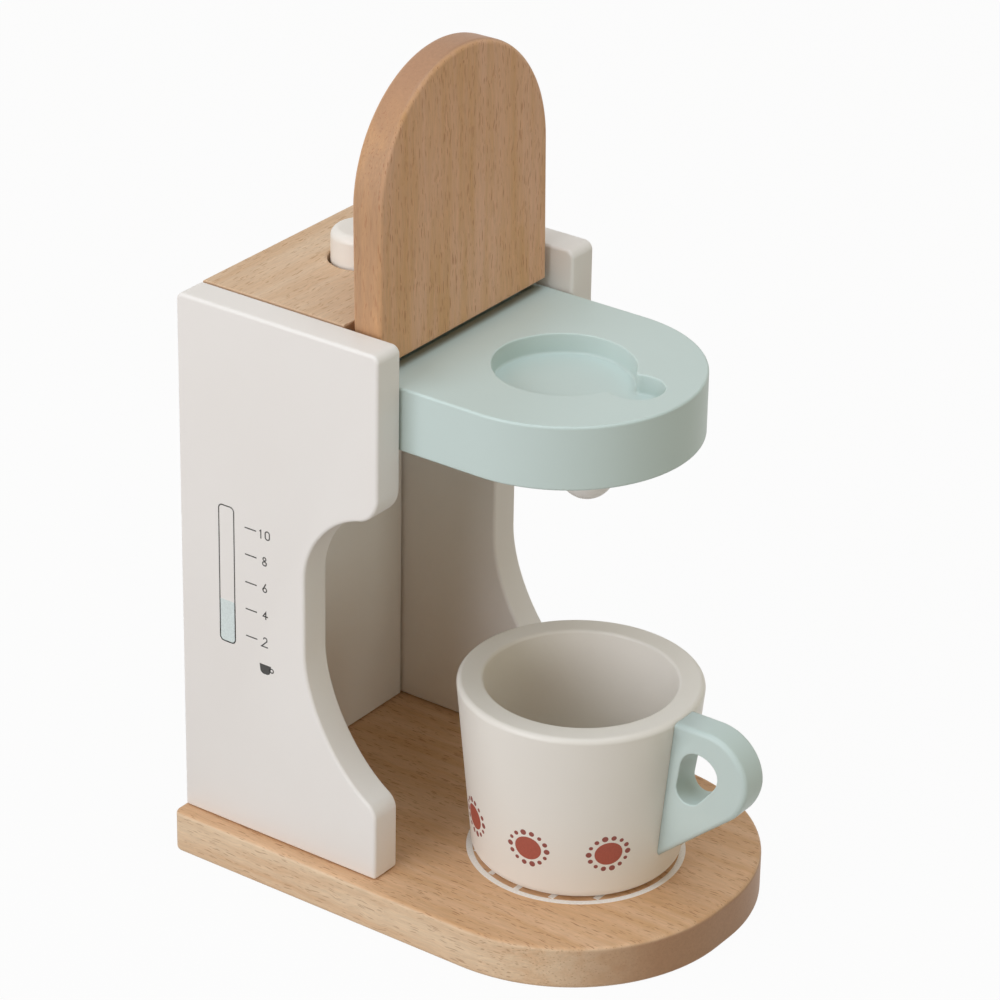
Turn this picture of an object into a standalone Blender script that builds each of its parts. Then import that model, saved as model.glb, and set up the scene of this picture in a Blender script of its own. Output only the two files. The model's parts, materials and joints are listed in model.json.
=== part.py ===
"""Wooden toy coffee maker: boards, turned pieces, dowels and screws, each one its own object.

The toy stands on its base with +Z up and its open bay facing -Y. The origin is on the middle line
of the base's underside, BASE_REACH behind its front edge. All lengths are metres and all angles are
degrees.
"""
import math

import bmesh
import bpy
from mathutils import Vector

# Clearances and machining
GLUE_GAP = 0.0003          # between pieces that are glued or rest on each other
PIN_CLEARANCE = 0.0003     # round a hinge pin, in its board and in the lid
CUT_OVERRUN = 0.002        # how far a drill or cutter runs past the face it starts from
ARC_SAGITTA = 0.00012      # how far a facet of an arc may lie inside the true curve
EDGE_STEPS = 3             # facets across a rounded rim
SHARP_ANGLE = 35           # facets that meet at more than this are shaded as an edge

# Base board, with a round front that is blunt at its tip
BASE_WIDTH = 0.125
BASE_DEPTH = 0.1762
BASE_REACH = 0.0872        # from the origin to the front edge
BASE_TIP = 0.0076          # straight stretch in the middle of the round front
BASE_THICK = 0.015
BASE_CORNER = 0.003
BASE_ROUNDING = 0.0028

# Side panels, with a waist cut out of the front edge
SIDE_THICK = 0.012
SIDE_MARGIN = 0.0055       # from the base's long edge to the panel's outer face
SIDE_DEPTH = 0.0792
SIDE_HEIGHT = 0.1845       # from the base's top to the panel's top
SIDE_SETBACK = 0.001       # from the base's rear edge
SIDE_CORNER = 0.005        # at the top of the front edge
SIDE_REAR_CORNER = 0.003
SIDE_ROUNDING = 0.002
WAIST_DEPTH = 0.050        # what is left of the panel at its narrowest
WAIST_TOP_HEIGHT = 0.0991  # where the straight waist ends and the upper curve starts
WAIST_STRAIGHT = 0.0285    # from there down to where the lower curve starts
UPPER_CURVE_RADIUS = 0.0285
LOWER_CURVE_RADIUS = 0.0485
NOSE_RADIUS = 0.0095
TOE_RADIUS = 0.0132

# Back panel and top plate, between the side panels
BACK_THICK = 0.012
TOP_THICK = 0.012
TOP_PROUD = 0.001          # how far the top plate stands above the side panels
TOP_SETBACK = 0.0015       # from the side panels' rear edge
PLATE_ROUNDING = 0.0007

# Brew head, the rounded slab over the cup, with a pocket for a toy pod
HEAD_THICK = 0.0214
HEAD_DROP = 0.0144         # from the side panels' top to the head's top
HEAD_REACH = 0.073         # in front of the side panels
HEAD_ROUNDING = 0.001
POD_BORDER = 0.022         # wood left between the pocket and the head's sides
POD_DEPTH = 0.0068
POD_SEGMENTS = 48
FINGER_RADIUS = 0.0088
FINGER_REACH = 0.0041      # from the pocket's rim to the finger notch's centre
FINGER_SEGMENTS = 24

# Spout, a round-ended dowel under the head
SPOUT_RADIUS = 0.0091
SPOUT_DROP = 0.0220
SPOUT_SEAT = 0.008
SPOUT_FORWARD = 0.0097     # in front of the pod pocket's centre
SPOUT_SEGMENTS = 28

# Lid, a round-topped flap that stands open and folds forward over the head
LID_THICK = 0.0115
LID_SIDE_GAP = 0.001
LID_LENGTH = 0.0854        # from the hinge axis to the top of the arch
LID_TAIL = 0.0064          # from the hinge axis to the lid's lower end
LID_ROUNDING = 0.0025
LID_LEAN = 1.0             # how far the open lid leans back
LID_SWING_GAP = 0.0004     # between the turning tail and the top plate
LID_AXIS_SETBACK = 0.0147  # behind the side panels' front edge
LID_AXIS_DROP = 0.0041     # below the side panels' top
PIN_RADIUS = 0.002
PIN_SIDE_DEPTH = 0.008
PIN_LID_DEPTH = 0.014
PIN_SEGMENTS = 20

# Push button and its spring
BUTTON_RADIUS = 0.010
BUTTON_RISE = 0.0098
BUTTON_ROUNDING = 0.003
BUTTON_CLEARANCE = 0.0009
BUTTON_SEGMENTS = 36
FLANGE_LIP = 0.0022        # how far the flange reaches past the hole in the plate
FLANGE_THICK = 0.003
STUB_RADIUS = 0.0045
STUB_LENGTH = 0.003
WELL_DEPTH = 0.014
WELL_CLEARANCE = 0.001
WELL_SEGMENTS = 32
SPRING_WIRE_RADIUS = 0.0005
SPRING_CLEARANCE = 0.0008  # between the wire and the button's stub
SPRING_TURNS = 5
SPRING_TURN_POINTS = 10

# Cup, a turned beaker with a sawn handle
CUP_HEIGHT = 0.0623
CUP_TOP_RADIUS = 0.0399
CUP_BASE_RADIUS = 0.034
CUP_MOUTH_RADIUS = 0.0312
CUP_FLOOR_RADIUS = 0.027
CUP_FLOOR_THICK = 0.010
CUP_RIM_ROUNDING = 0.0025
CUP_LIP_ROUNDING = 0.001
CUP_FOOT_ROUNDING = 0.0045
CUP_FLOOR_ROUNDING = 0.004
CUP_SEGMENTS = 56
HANDLE_THICK = 0.011
HANDLE_ROUNDING = 0.0025
HANDLE_EYE_REACH = 0.0514  # from the cup's axis to the centre of the handle's round end
HANDLE_EYE_HEIGHT = 0.0460
HANDLE_EYE_RADIUS = 0.0159
HANDLE_TIP_HEIGHT = 0.0115
FINGER_TOP_RADIUS = 0.0064
FINGER_LOW_RADIUS = 0.0032
FINGER_TOP_INSET = 0.0024  # the finger hole's top circle, back from the eye's centre
FINGER_LOW_INSET = 0.0068  # its lower circle, back from the eye's centre
FINGER_LOW_DROP = 0.0087   # and below it

# Fastenings
DOWEL_RADIUS = 0.003
DOWEL_SIDE_DEPTH = 0.008
DOWEL_BOARD_DEPTH = 0.010
HANDLE_DOWEL_RADIUS = 0.002
HANDLE_DOWEL_DEPTH = 0.005
SCREW_RADIUS = 0.00175
SCREW_HEAD_RADIUS = 0.0038
SCREW_HEAD_HEIGHT = 0.0025
SCREW_LENGTH = 0.034
SCREW_SINK = 0.0005        # the head's face, above the base's underside
ROUND_SEGMENTS = 14        # sides of a dowel or a screw

# Where the fastenings sit, as shares of the piece that they join
TOP_DOWEL_SHARES = (0.20, 0.75)
HEAD_DOWEL_SHARES = (0.12, 0.36)
BACK_DOWEL_SHARES = (0.20, 0.75)
SIDE_SCREW_SHARES = (0.15, 0.82)
BACK_SCREW_SHARE = 0.5
HANDLE_DOWEL_SHARES = (0.28, 0.90)

# Levels and places that several pieces share
SAME_POINT = GLUE_GAP / 10     # two outline points nearer than this are one
INSIDE_HALF = BASE_WIDTH / 2 - SIDE_MARGIN - SIDE_THICK
BASE_REAR_Y = BASE_DEPTH - BASE_REACH
SIDE_REAR_Y = BASE_REAR_Y - SIDE_SETBACK
SIDE_FRONT_Y = SIDE_REAR_Y - SIDE_DEPTH
SIDE_TOP_Z = BASE_THICK + SIDE_HEIGHT
BACK_FRONT_Y = SIDE_REAR_Y - BACK_THICK
BACK_MID_Y = SIDE_REAR_Y - BACK_THICK / 2
PLATE_TOP_Z = SIDE_TOP_Z + TOP_PROUD
TOP_UNDER_Z = PLATE_TOP_Z - TOP_THICK
TOP_MID_Z = PLATE_TOP_Z - TOP_THICK / 2
HEAD_TOP_Z = SIDE_TOP_Z - HEAD_DROP
HEAD_UNDER_Z = HEAD_TOP_Z - HEAD_THICK
HEAD_HALF = INSIDE_HALF - GLUE_GAP
HEAD_REAR_Y = BACK_FRONT_Y - GLUE_GAP
HEAD_FRONT_Y = SIDE_FRONT_Y - HEAD_REACH
POD_RADIUS = HEAD_HALF - POD_BORDER
POD_Y = HEAD_FRONT_Y + HEAD_HALF
FINGER_Y = POD_Y - POD_RADIUS - FINGER_REACH
SPOUT_Y = POD_Y - SPOUT_FORWARD
LID_AXIS_Y = SIDE_FRONT_Y + LID_AXIS_SETBACK
LID_AXIS_Z = SIDE_TOP_Z - LID_AXIS_DROP
TAIL_SWING = LID_ROUNDING + math.hypot(LID_THICK / 2 - LID_ROUNDING, LID_TAIL - LID_ROUNDING)
TOP_FRONT_Y = LID_AXIS_Y + TAIL_SWING + LID_SWING_GAP
TOP_REAR_Y = SIDE_REAR_Y - TOP_SETBACK
BUTTON_Y = (TOP_FRONT_Y + TOP_REAR_Y) / 2
BUTTON_HOLE_RADIUS = BUTTON_RADIUS + BUTTON_CLEARANCE
FLANGE_RADIUS = BUTTON_HOLE_RADIUS + FLANGE_LIP
FLANGE_TOP_Z = TOP_UNDER_Z - GLUE_GAP
FLANGE_UNDER_Z = FLANGE_TOP_Z - FLANGE_THICK
WELL_FLOOR_Z = HEAD_TOP_Z - WELL_DEPTH
CUP_FOOT_Z = BASE_THICK + GLUE_GAP

# Colours in linear RGB, with a roughness
BEECH = ((0.60, 0.38, 0.20), 0.55)
WHITE_PAINT = ((0.78, 0.74, 0.68), 0.45)
MINT_PAINT = ((0.48, 0.60, 0.53), 0.45)
BIRCH = ((0.66, 0.50, 0.32), 0.60)
STEEL = ((0.55, 0.55, 0.56), 0.30)


def clear_scene():
    """Remove whatever the file holds."""
    for item in list(bpy.data.objects):
        bpy.data.objects.remove(item, do_unlink=True)


def add_material(name, finish, metallic=0.0):
    """A Principled material with a plain colour."""
    colour, roughness = finish
    material = bpy.data.materials.new(name)
    material.use_nodes = True
    shader = material.node_tree.nodes["Principled BSDF"]
    shader.inputs["Base Color"].default_value = (*colour, 1.0)
    shader.inputs["Roughness"].default_value = roughness
    shader.inputs["Metallic"].default_value = metallic
    material.diffuse_color = (*colour, 1.0)
    return material


def arc(centre, radius, start, end):
    """Points along an arc, both ends included, anticlockwise where end is above start."""
    step = 2 * math.degrees(math.acos(max(0, 1 - ARC_SAGITTA / radius)))
    steps = max(2, math.ceil(abs(end - start) / step))
    angles = [math.radians(start + (end - start) * i / steps) for i in range(steps + 1)]
    return [centre + radius * Vector((math.cos(a), math.sin(a))) for a in angles]


def heading(vector):
    """The direction of a flat vector, in degrees."""
    return math.degrees(math.atan2(vector.y, vector.x))


def rounded(corners, closed=True):
    """An outline through corners (x, y, radius), each one rounded to its radius."""
    outline = []
    for i, (x, y, radius) in enumerate(corners):
        corner = Vector((x, y))
        is_end = not closed and i in (0, len(corners) - 1)
        if radius <= 0 or is_end:
            outline.append(corner)
            continue
        to_last = (Vector(corners[i - 1][:2]) - corner).normalized()
        to_next = (Vector(corners[(i + 1) % len(corners)][:2]) - corner).normalized()
        half_angle = to_last.angle(to_next) / 2
        middle = corner + (to_last + to_next).normalized() * radius / math.sin(half_angle)
        first = corner + to_last * radius / math.tan(half_angle)
        last = corner + to_next * radius / math.tan(half_angle)
        start = heading(first - middle)
        turn = (heading(last - middle) - start + 180) % 360 - 180
        outline += arc(middle, radius, start, start + turn)
    return [p for i, p in enumerate(outline) if i == 0 or (p - outline[i - 1]).length > SAME_POINT]


def signed_area(outline):
    """Positive where the outline runs anticlockwise."""
    pairs = zip(outline, outline[1:] + outline[:1])
    return sum(p.x * q.y - q.x * p.y for p, q in pairs) / 2


def inset(outline, distance):
    """The anticlockwise outline moved inwards by a distance, with mitred corners."""
    moved = []
    for last, here, following in zip(outline[-1:] + outline[:-1], outline, outline[1:] + outline[:1]):
        before = (here - last).normalized()
        after = (following - here).normalized()
        normal_before = Vector((-before.y, before.x))
        normal_after = Vector((-after.y, after.x))
        mitre = (normal_before + normal_after) / (1 + normal_before.dot(normal_after))
        moved.append(here + mitre * distance)
    return moved


def add_object(name, mesh_builder, material):
    """Turn a bmesh into a smooth-shaded object."""
    bmesh.ops.recalc_face_normals(mesh_builder, faces=mesh_builder.faces)
    mesh = bpy.data.meshes.new(name)
    mesh_builder.to_mesh(mesh)
    mesh_builder.free()
    mesh.shade_smooth()
    mesh.set_sharp_from_angle(angle=math.radians(SHARP_ANGLE))
    mesh.materials.append(material)
    item = bpy.data.objects.new(name, mesh)
    bpy.context.scene.collection.objects.link(item)
    return item


def board(name, outline, thickness, rounding, material, holes=(), square_foot=False):
    """A board sawn to an outline, centred on its thickness, with its rims rounded over.

    Holes get the same rounding. With square_foot, the edge that the board stands on stays square.
    """
    builder = bmesh.new()
    levels = []
    for step in range(EDGE_STEPS + 1):
        angle = math.radians(90 * step / EDGE_STEPS)
        levels.append((rounding * (1 - math.sin(angle)), rounding * (1 - math.cos(angle))))
    levels = [(side, depth - thickness / 2) for side, depth in levels]
    levels += [(side, -depth) for side, depth in reversed(levels)]
    rim_edges = ([], [])
    for shape, direction in [(outline, 1)] + [(hole, -1) for hole in holes]:
        shape = shape if signed_area(shape) > 0 else shape[::-1]
        foot = min(p.y for p in shape)
        rings = []
        for side, depth in levels:
            moved = inset(shape, side * direction)
            if square_foot:
                moved = [Vector((m.x, p.y)) if p.y == foot else m for m, p in zip(moved, shape)]
            rings.append([builder.verts.new((p.x, p.y, depth)) for p in moved])
        ring_edges = []
        for ring in rings:
            ring_edges.append([builder.edges.new(pair) for pair in zip(ring, ring[1:] + ring[:1])])
        for lower, upper in zip(ring_edges, ring_edges[1:]):
            bmesh.ops.bridge_loops(builder, edges=lower + upper)
        rim_edges[0].extend(ring_edges[0])
        rim_edges[1].extend(ring_edges[-1])
    for edges in rim_edges:
        bmesh.ops.triangle_fill(builder, use_beauty=True, edges=edges)
    return add_object(name, builder, material)


def turned(name, profile, segments, material):
    """A solid turned round Z from a profile of (radius, height) points that starts and ends on the axis."""
    builder = bmesh.new()
    points = [builder.verts.new((p.x, 0, p.y)) for p in profile]
    lines = [builder.edges.new(pair) for pair in zip(points, points[1:])]
    bmesh.ops.spin(builder, geom=points + lines, cent=(0, 0, 0), axis=(0, 0, 1), dvec=(0, 0, 0),
                   angle=math.tau, steps=segments, use_merge=True, use_duplicate=False)
    bmesh.ops.remove_doubles(builder, verts=builder.verts, dist=SAME_POINT)
    return add_object(name, builder, material)


def rod(name, radius, length, material, segments=ROUND_SEGMENTS):
    """A plain round rod along Z, centred on its length."""
    half = length / 2
    profile = [Vector(p) for p in ((0, -half), (radius, -half), (radius, half), (0, half))]
    return turned(name, profile, segments, material)


def place(item, location, along="Z"):
    """Move an object and lay its Z axis along a world axis."""
    turns = {"Z": (0, 0, 0), "X": (0, math.radians(90), 0), "Y": (math.radians(90), 0, 0)}
    item.location = location
    item.rotation_euler = turns[along]
    return item


def cut(target, cutter):
    """Subtract a cutter from a piece and hide the cutter."""
    cutter.hide_render = True
    cutter.display_type = "WIRE"
    modifier = target.modifiers.new("cut " + cutter.name, "BOOLEAN")
    modifier.operation = "DIFFERENCE"
    modifier.solver = "EXACT"
    modifier.object = cutter


def drill(targets, name, radius, length, location, along="Z", segments=ROUND_SEGMENTS):
    """Cut one round hole through one or more pieces."""
    cutter = place(rod(name, radius, length, MATERIALS["birch"], segments), location, along)
    for target in targets:
        cut(target, cutter)
    return cutter


def dowel(name, first, second, side_depth, board_depth, seam, axis, radius):
    """A glued dowel across the seam between two pieces, and the blind hole it sits in.

    The seam is a point between the pieces. The axis is a unit vector from the first into the second.
    """
    along = "X" if abs(axis.x) > 0.5 else "Y"
    middle = seam + axis * (board_depth - side_depth) / 2
    length = side_depth + board_depth
    drill((first, second), name + "_hole", radius + GLUE_GAP, length + 2 * GLUE_GAP, middle, along)
    return place(rod(name, radius, length, MATERIALS["birch"]), middle, along)


def pocket(name, target, radius, depth, location, segments):
    """Cut a flat-bottomed round pocket down from a piece's top, at the location of its rim."""
    middle = Vector(location) + Vector((0, 0, (CUT_OVERRUN - depth) / 2))
    cutter = rod(name, radius, depth + CUT_OVERRUN, MATERIALS["birch"], segments)
    cut(target, place(cutter, middle))


def build_base():
    """The beech board that everything stands on."""
    half = BASE_WIDTH / 2
    front = half - BASE_TIP / 2
    outline = rounded([(-half, BASE_REAR_Y, BASE_CORNER), (half, BASE_REAR_Y, BASE_CORNER),
                       (half, -BASE_REACH, front), (-half, -BASE_REACH, front)])
    base = board("base_plate", outline, BASE_THICK, BASE_ROUNDING, MATERIALS["beech"])
    return place(base, (0, 0, BASE_THICK / 2))


def side_outline():
    """The side panel from its rear lower corner: -Y is forwards, and the front edge has a waist."""
    upper = Vector((-WAIST_DEPTH - UPPER_CURVE_RADIUS, WAIST_TOP_HEIGHT))
    lower = Vector((-WAIST_DEPTH - LOWER_CURVE_RADIUS, WAIST_TOP_HEIGHT - WAIST_STRAIGHT))
    nose = tangent_corner(upper, UPPER_CURVE_RADIUS, NOSE_RADIUS, 1)
    toe = tangent_corner(lower, LOWER_CURVE_RADIUS, TOE_RADIUS, -1)
    nose_turn = heading(upper - nose)
    toe_turn = heading(lower - toe)
    height = SIDE_HEIGHT - GLUE_GAP
    outline = [Vector((-SIDE_DEPTH, 0)), Vector((0, 0))]
    outline += rounded([(0, 0, 0), (0, height, SIDE_REAR_CORNER), (-SIDE_DEPTH, height, SIDE_CORNER),
                        (-SIDE_DEPTH, nose.y, 0)], closed=False)[1:-1]
    outline += arc(nose, NOSE_RADIUS, 180, 360 + nose_turn)
    outline += arc(upper, UPPER_CURVE_RADIUS, nose_turn + 180, 0)[1:]
    outline += arc(lower, LOWER_CURVE_RADIUS, 0, toe_turn - 180)
    outline += arc(toe, TOE_RADIUS, toe_turn, 180)[1:]
    return outline


def tangent_corner(curve_centre, curve_radius, corner_radius, direction):
    """The centre of the corner arc that joins the panel's front edge to a waist curve."""
    y = -SIDE_DEPTH + corner_radius
    rise = math.sqrt((curve_radius + corner_radius) ** 2 - (y - curve_centre.x) ** 2)
    return Vector((y, curve_centre.y + direction * rise))


def build_side(name, side):
    """One painted side panel. The side is -1 for the left one and 1 for the right one."""
    panel = board(name, side_outline(), SIDE_THICK, SIDE_ROUNDING, MATERIALS["white_paint"],
                  square_foot=True)
    panel.rotation_euler = (math.radians(90), 0, math.radians(90))
    panel.location = (side * (INSIDE_HALF + SIDE_THICK / 2), SIDE_REAR_Y, BASE_THICK + GLUE_GAP)
    return panel


def build_back():
    """The painted panel that closes the rear, from the base up to the top plate."""
    half = INSIDE_HALF - GLUE_GAP
    height = TOP_UNDER_Z - BASE_THICK - 2 * GLUE_GAP
    outline = rounded([(-half, 0, 0), (half, 0, 0), (half, height, 0), (-half, height, 0)])
    back = board("back_panel", outline, BACK_THICK, PLATE_ROUNDING, MATERIALS["white_paint"],
                 square_foot=True)
    return place(back, (0, BACK_MID_Y, BASE_THICK + GLUE_GAP), "Y")


def build_top():
    """The beech plate between the panels, behind the lid, with the button's hole."""
    half = INSIDE_HALF - GLUE_GAP
    outline = rounded([(-half, TOP_FRONT_Y, 0), (half, TOP_FRONT_Y, 0),
                       (half, TOP_REAR_Y, 0), (-half, TOP_REAR_Y, 0)])
    hole = arc(Vector((0, BUTTON_Y)), BUTTON_HOLE_RADIUS, 0, 360)[:-1]
    top = board("top_plate", outline, TOP_THICK, PLATE_ROUNDING, MATERIALS["beech"], holes=[hole])
    return place(top, (0, 0, TOP_MID_Z))


def build_head():
    """The mint slab over the cup, with the pod pocket, its finger notch and the spring's well."""
    outline = rounded([(-HEAD_HALF, HEAD_REAR_Y, 0), (HEAD_HALF, HEAD_REAR_Y, 0),
                       (HEAD_HALF, HEAD_FRONT_Y, HEAD_HALF), (-HEAD_HALF, HEAD_FRONT_Y, HEAD_HALF)])
    head = board("brew_head", outline, HEAD_THICK, HEAD_ROUNDING, MATERIALS["mint_paint"])
    place(head, (0, 0, HEAD_TOP_Z - HEAD_THICK / 2))
    pocket("pod_cutter", head, POD_RADIUS, POD_DEPTH, (0, POD_Y, HEAD_TOP_Z), POD_SEGMENTS)
    pocket("finger_cutter", head, FINGER_RADIUS, POD_DEPTH, (0, FINGER_Y, HEAD_TOP_Z), FINGER_SEGMENTS)
    well_radius = FLANGE_RADIUS + WELL_CLEARANCE
    pocket("well_cutter", head, well_radius, WELL_DEPTH, (0, BUTTON_Y, HEAD_TOP_Z), WELL_SEGMENTS)
    return head


def build_spout(head):
    """The round-ended dowel under the head, glued into a blind hole."""
    top = HEAD_UNDER_Z + SPOUT_SEAT - GLUE_GAP
    bottom = HEAD_UNDER_Z - SPOUT_DROP
    profile = arc(Vector((0, bottom + SPOUT_RADIUS)), SPOUT_RADIUS, -90, 0)
    profile += [Vector((SPOUT_RADIUS, top)), Vector((0, top))]
    profile[0].x = 0
    profile = [Vector((p.x, p.y - HEAD_UNDER_Z)) for p in profile]
    spout = turned("spout", profile, SPOUT_SEGMENTS, MATERIALS["white_paint"])
    place(spout, (0, SPOUT_Y, HEAD_UNDER_Z))
    seat_middle = HEAD_UNDER_Z + (SPOUT_SEAT - CUT_OVERRUN) / 2
    drill((head,), "spout_hole", SPOUT_RADIUS + GLUE_GAP, SPOUT_SEAT + CUT_OVERRUN,
          (0, SPOUT_Y, seat_middle), segments=SPOUT_SEGMENTS)
    return spout


def build_lid():
    """The beech flap, drawn from its hinge axis upwards, leaning back a little as it stands open."""
    half = INSIDE_HALF - LID_SIDE_GAP
    outline = rounded([(-half, -LID_TAIL, 0), (half, -LID_TAIL, 0),
                       (half, LID_LENGTH, half), (-half, LID_LENGTH, half)])
    lid = board("lid", outline, LID_THICK, LID_ROUNDING, MATERIALS["beech"])
    lid.location = (0, LID_AXIS_Y, LID_AXIS_Z)
    lid.rotation_euler = (math.radians(90 - LID_LEAN), 0, 0)
    return lid


def build_lid_pins(lid, sides):
    """A steel pin on each side, fixed in the panel and turning in the lid."""
    length = PIN_SIDE_DEPTH + LID_SIDE_GAP + PIN_LID_DEPTH
    for name, side, panel in sides:
        middle = side * (INSIDE_HALF + PIN_SIDE_DEPTH - length / 2)
        location = (middle, LID_AXIS_Y, LID_AXIS_Z)
        drill((panel, lid), name + "_pin_hole", PIN_RADIUS + PIN_CLEARANCE, length + 2 * PIN_CLEARANCE,
              location, "X", PIN_SEGMENTS)
        pin = rod("lid_pin_" + name, PIN_RADIUS, length, MATERIALS["steel"], PIN_SEGMENTS)
        place(pin, location, "X")


def build_button():
    """The turned button, with a flange that the top plate holds down and a stub for the spring."""
    top = PLATE_TOP_Z + BUTTON_RISE
    stub_end = FLANGE_UNDER_Z - STUB_LENGTH
    levels = [(0, stub_end, 0), (STUB_RADIUS, stub_end, 0), (STUB_RADIUS, FLANGE_UNDER_Z, 0),
              (FLANGE_RADIUS, FLANGE_UNDER_Z, 0), (FLANGE_RADIUS, FLANGE_TOP_Z, 0),
              (BUTTON_RADIUS, FLANGE_TOP_Z, 0), (BUTTON_RADIUS, top, BUTTON_ROUNDING), (0, top, 0)]
    profile = rounded([(x, z - FLANGE_TOP_Z, r) for x, z, r in levels], closed=False)
    button = turned("button", profile, BUTTON_SEGMENTS, MATERIALS["white_paint"])
    return place(button, (0, BUTTON_Y, FLANGE_TOP_Z))


def least_gap(points, wire_radius, turn_points):
    """The smallest distance between the wire's surface on one turn and on the next."""
    pairs = []
    for i, point in enumerate(points):
        later = points[i + turn_points // 2:]
        pairs += [(point - other).length for other in later]
    return min(pairs) - 2 * wire_radius


def build_spring():
    """The button's spring: one open helix of wire round the stub, in the head's well."""
    radius = STUB_RADIUS + SPRING_CLEARANCE + SPRING_WIRE_RADIUS
    low = WELL_FLOOR_Z + GLUE_GAP + SPRING_WIRE_RADIUS
    high = FLANGE_UNDER_Z - GLUE_GAP - SPRING_WIRE_RADIUS
    count = SPRING_TURNS * SPRING_TURN_POINTS
    points = []
    for i in range(count + 1):
        turn = math.tau * i / SPRING_TURN_POINTS
        height = (high - low) * i / count
        points.append(Vector((radius * math.cos(turn), radius * math.sin(turn), height)))
    print("spring's least gap to itself:", round(least_gap(points, SPRING_WIRE_RADIUS, SPRING_TURN_POINTS), 5))
    curve = bpy.data.curves.new("button_spring", "CURVE")
    curve.dimensions = "3D"
    curve.bevel_depth = SPRING_WIRE_RADIUS
    curve.bevel_resolution = 1
    curve.use_fill_caps = True
    spline = curve.splines.new("POLY")
    spline.points.add(count)
    for knot, point in zip(spline.points, points):
        knot.co = (*point, 1)
    curve.materials.append(MATERIALS["steel"])
    spring = bpy.data.objects.new("button_spring", curve)
    bpy.context.scene.collection.objects.link(spring)
    spring.location = (0, BUTTON_Y, low)
    return spring


def cup_radius(height):
    """The cup's outer radius at a height above its foot."""
    return CUP_BASE_RADIUS + (CUP_TOP_RADIUS - CUP_BASE_RADIUS) * height / CUP_HEIGHT


def build_cup():
    """The beaker, turned with a thick wall, a rolled rim and a rounded foot."""
    profile = rounded([(0, 0, 0), (CUP_BASE_RADIUS, 0, CUP_FOOT_ROUNDING),
                       (CUP_TOP_RADIUS, CUP_HEIGHT, CUP_RIM_ROUNDING),
                       (CUP_MOUTH_RADIUS, CUP_HEIGHT, CUP_LIP_ROUNDING),
                       (CUP_FLOOR_RADIUS, CUP_FLOOR_THICK, CUP_FLOOR_ROUNDING),
                       (0, CUP_FLOOR_THICK, 0)], closed=False)
    cup = turned("cup_body", profile, CUP_SEGMENTS, MATERIALS["white_paint"])
    return place(cup, (0, SPOUT_Y, CUP_FOOT_Z))


def common_tangent(first, first_radius, second, second_radius):
    """The two points where a line touches two circles, both on the right of the way between them."""
    way = second - first
    lean = math.asin((first_radius - second_radius) / way.length)
    angle = math.radians(heading(way)) - math.pi / 2 + lean
    normal = Vector((math.cos(angle), math.sin(angle)))
    return first + normal * first_radius, second + normal * second_radius


def handle_outline(inner_reach):
    """The handle seen from its side: a flat top, a round end and a straight lower edge to the cup."""
    eye = Vector((HANDLE_EYE_REACH, HANDLE_EYE_HEIGHT))
    tip = Vector((cup_radius(HANDLE_TIP_HEIGHT), HANDLE_TIP_HEIGHT))
    _, leaving = common_tangent(tip, 0, eye, HANDLE_EYE_RADIUS)
    slope = (leaving - tip).normalized()
    start = tip - slope * (tip.x - inner_reach) / slope.x
    outline = [Vector((inner_reach, eye.y + HANDLE_EYE_RADIUS)), start]
    return outline + arc(eye, HANDLE_EYE_RADIUS, heading(leaving - eye), 90)


def finger_outline():
    """The finger hole, wide at the top and narrow at the bottom."""
    top = Vector((HANDLE_EYE_REACH - FINGER_TOP_INSET, HANDLE_EYE_HEIGHT))
    low = Vector((HANDLE_EYE_REACH - FINGER_LOW_INSET, HANDLE_EYE_HEIGHT - FINGER_LOW_DROP))
    low_right, top_right = common_tangent(low, FINGER_LOW_RADIUS, top, FINGER_TOP_RADIUS)
    top_left, low_left = common_tangent(top, FINGER_TOP_RADIUS, low, FINGER_LOW_RADIUS)
    top_start = heading(top_right - top)
    low_start = heading(low_left - low)
    top_end = top_start + (heading(top_left - top) - top_start) % 360
    low_end = low_start + (heading(low_right - low) - low_start) % 360
    return arc(top, FINGER_TOP_RADIUS, top_start, top_end) + arc(low, FINGER_LOW_RADIUS, low_start, low_end)


def build_handle(cup):
    """The mint handle, coped to the cup's taper and held by two hidden dowels."""
    inner_reach = CUP_BASE_RADIUS - HANDLE_DOWEL_DEPTH
    handle = board("cup_handle", handle_outline(inner_reach), HANDLE_THICK, HANDLE_ROUNDING,
                   MATERIALS["mint_paint"], holes=[finger_outline()])
    handle.rotation_euler = (math.radians(90), 0, math.radians(-90))
    handle.location = (0, SPOUT_Y, CUP_FOOT_Z)
    grow = (CUP_TOP_RADIUS - CUP_BASE_RADIUS) / CUP_HEIGHT
    low = -CUT_OVERRUN
    high = CUP_HEIGHT + CUT_OVERRUN
    gap = GLUE_GAP * math.hypot(1, grow)
    cone = [Vector((0, low)), Vector((cup_radius(low) + gap, low)),
            Vector((cup_radius(high) + gap, high)), Vector((0, high))]
    cope = turned("handle_cope", cone, CUP_SEGMENTS, MATERIALS["birch"])
    cut(handle, place(cope, (0, SPOUT_Y, CUP_FOOT_Z)))
    for name, share in zip(("lower", "upper"), HANDLE_DOWEL_SHARES):
        height = share * (HANDLE_EYE_HEIGHT + HANDLE_EYE_RADIUS)
        seam = Vector((0, SPOUT_Y - cup_radius(height), CUP_FOOT_Z + height))
        dowel("handle_dowel_" + name, cup, handle, HANDLE_DOWEL_DEPTH, HANDLE_DOWEL_DEPTH, seam,
              Vector((0, -1, 0)), HANDLE_DOWEL_RADIUS)
    return handle


def between(low, high, share):
    """The place at a share of the way from low to high."""
    return low + (high - low) * share


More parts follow.
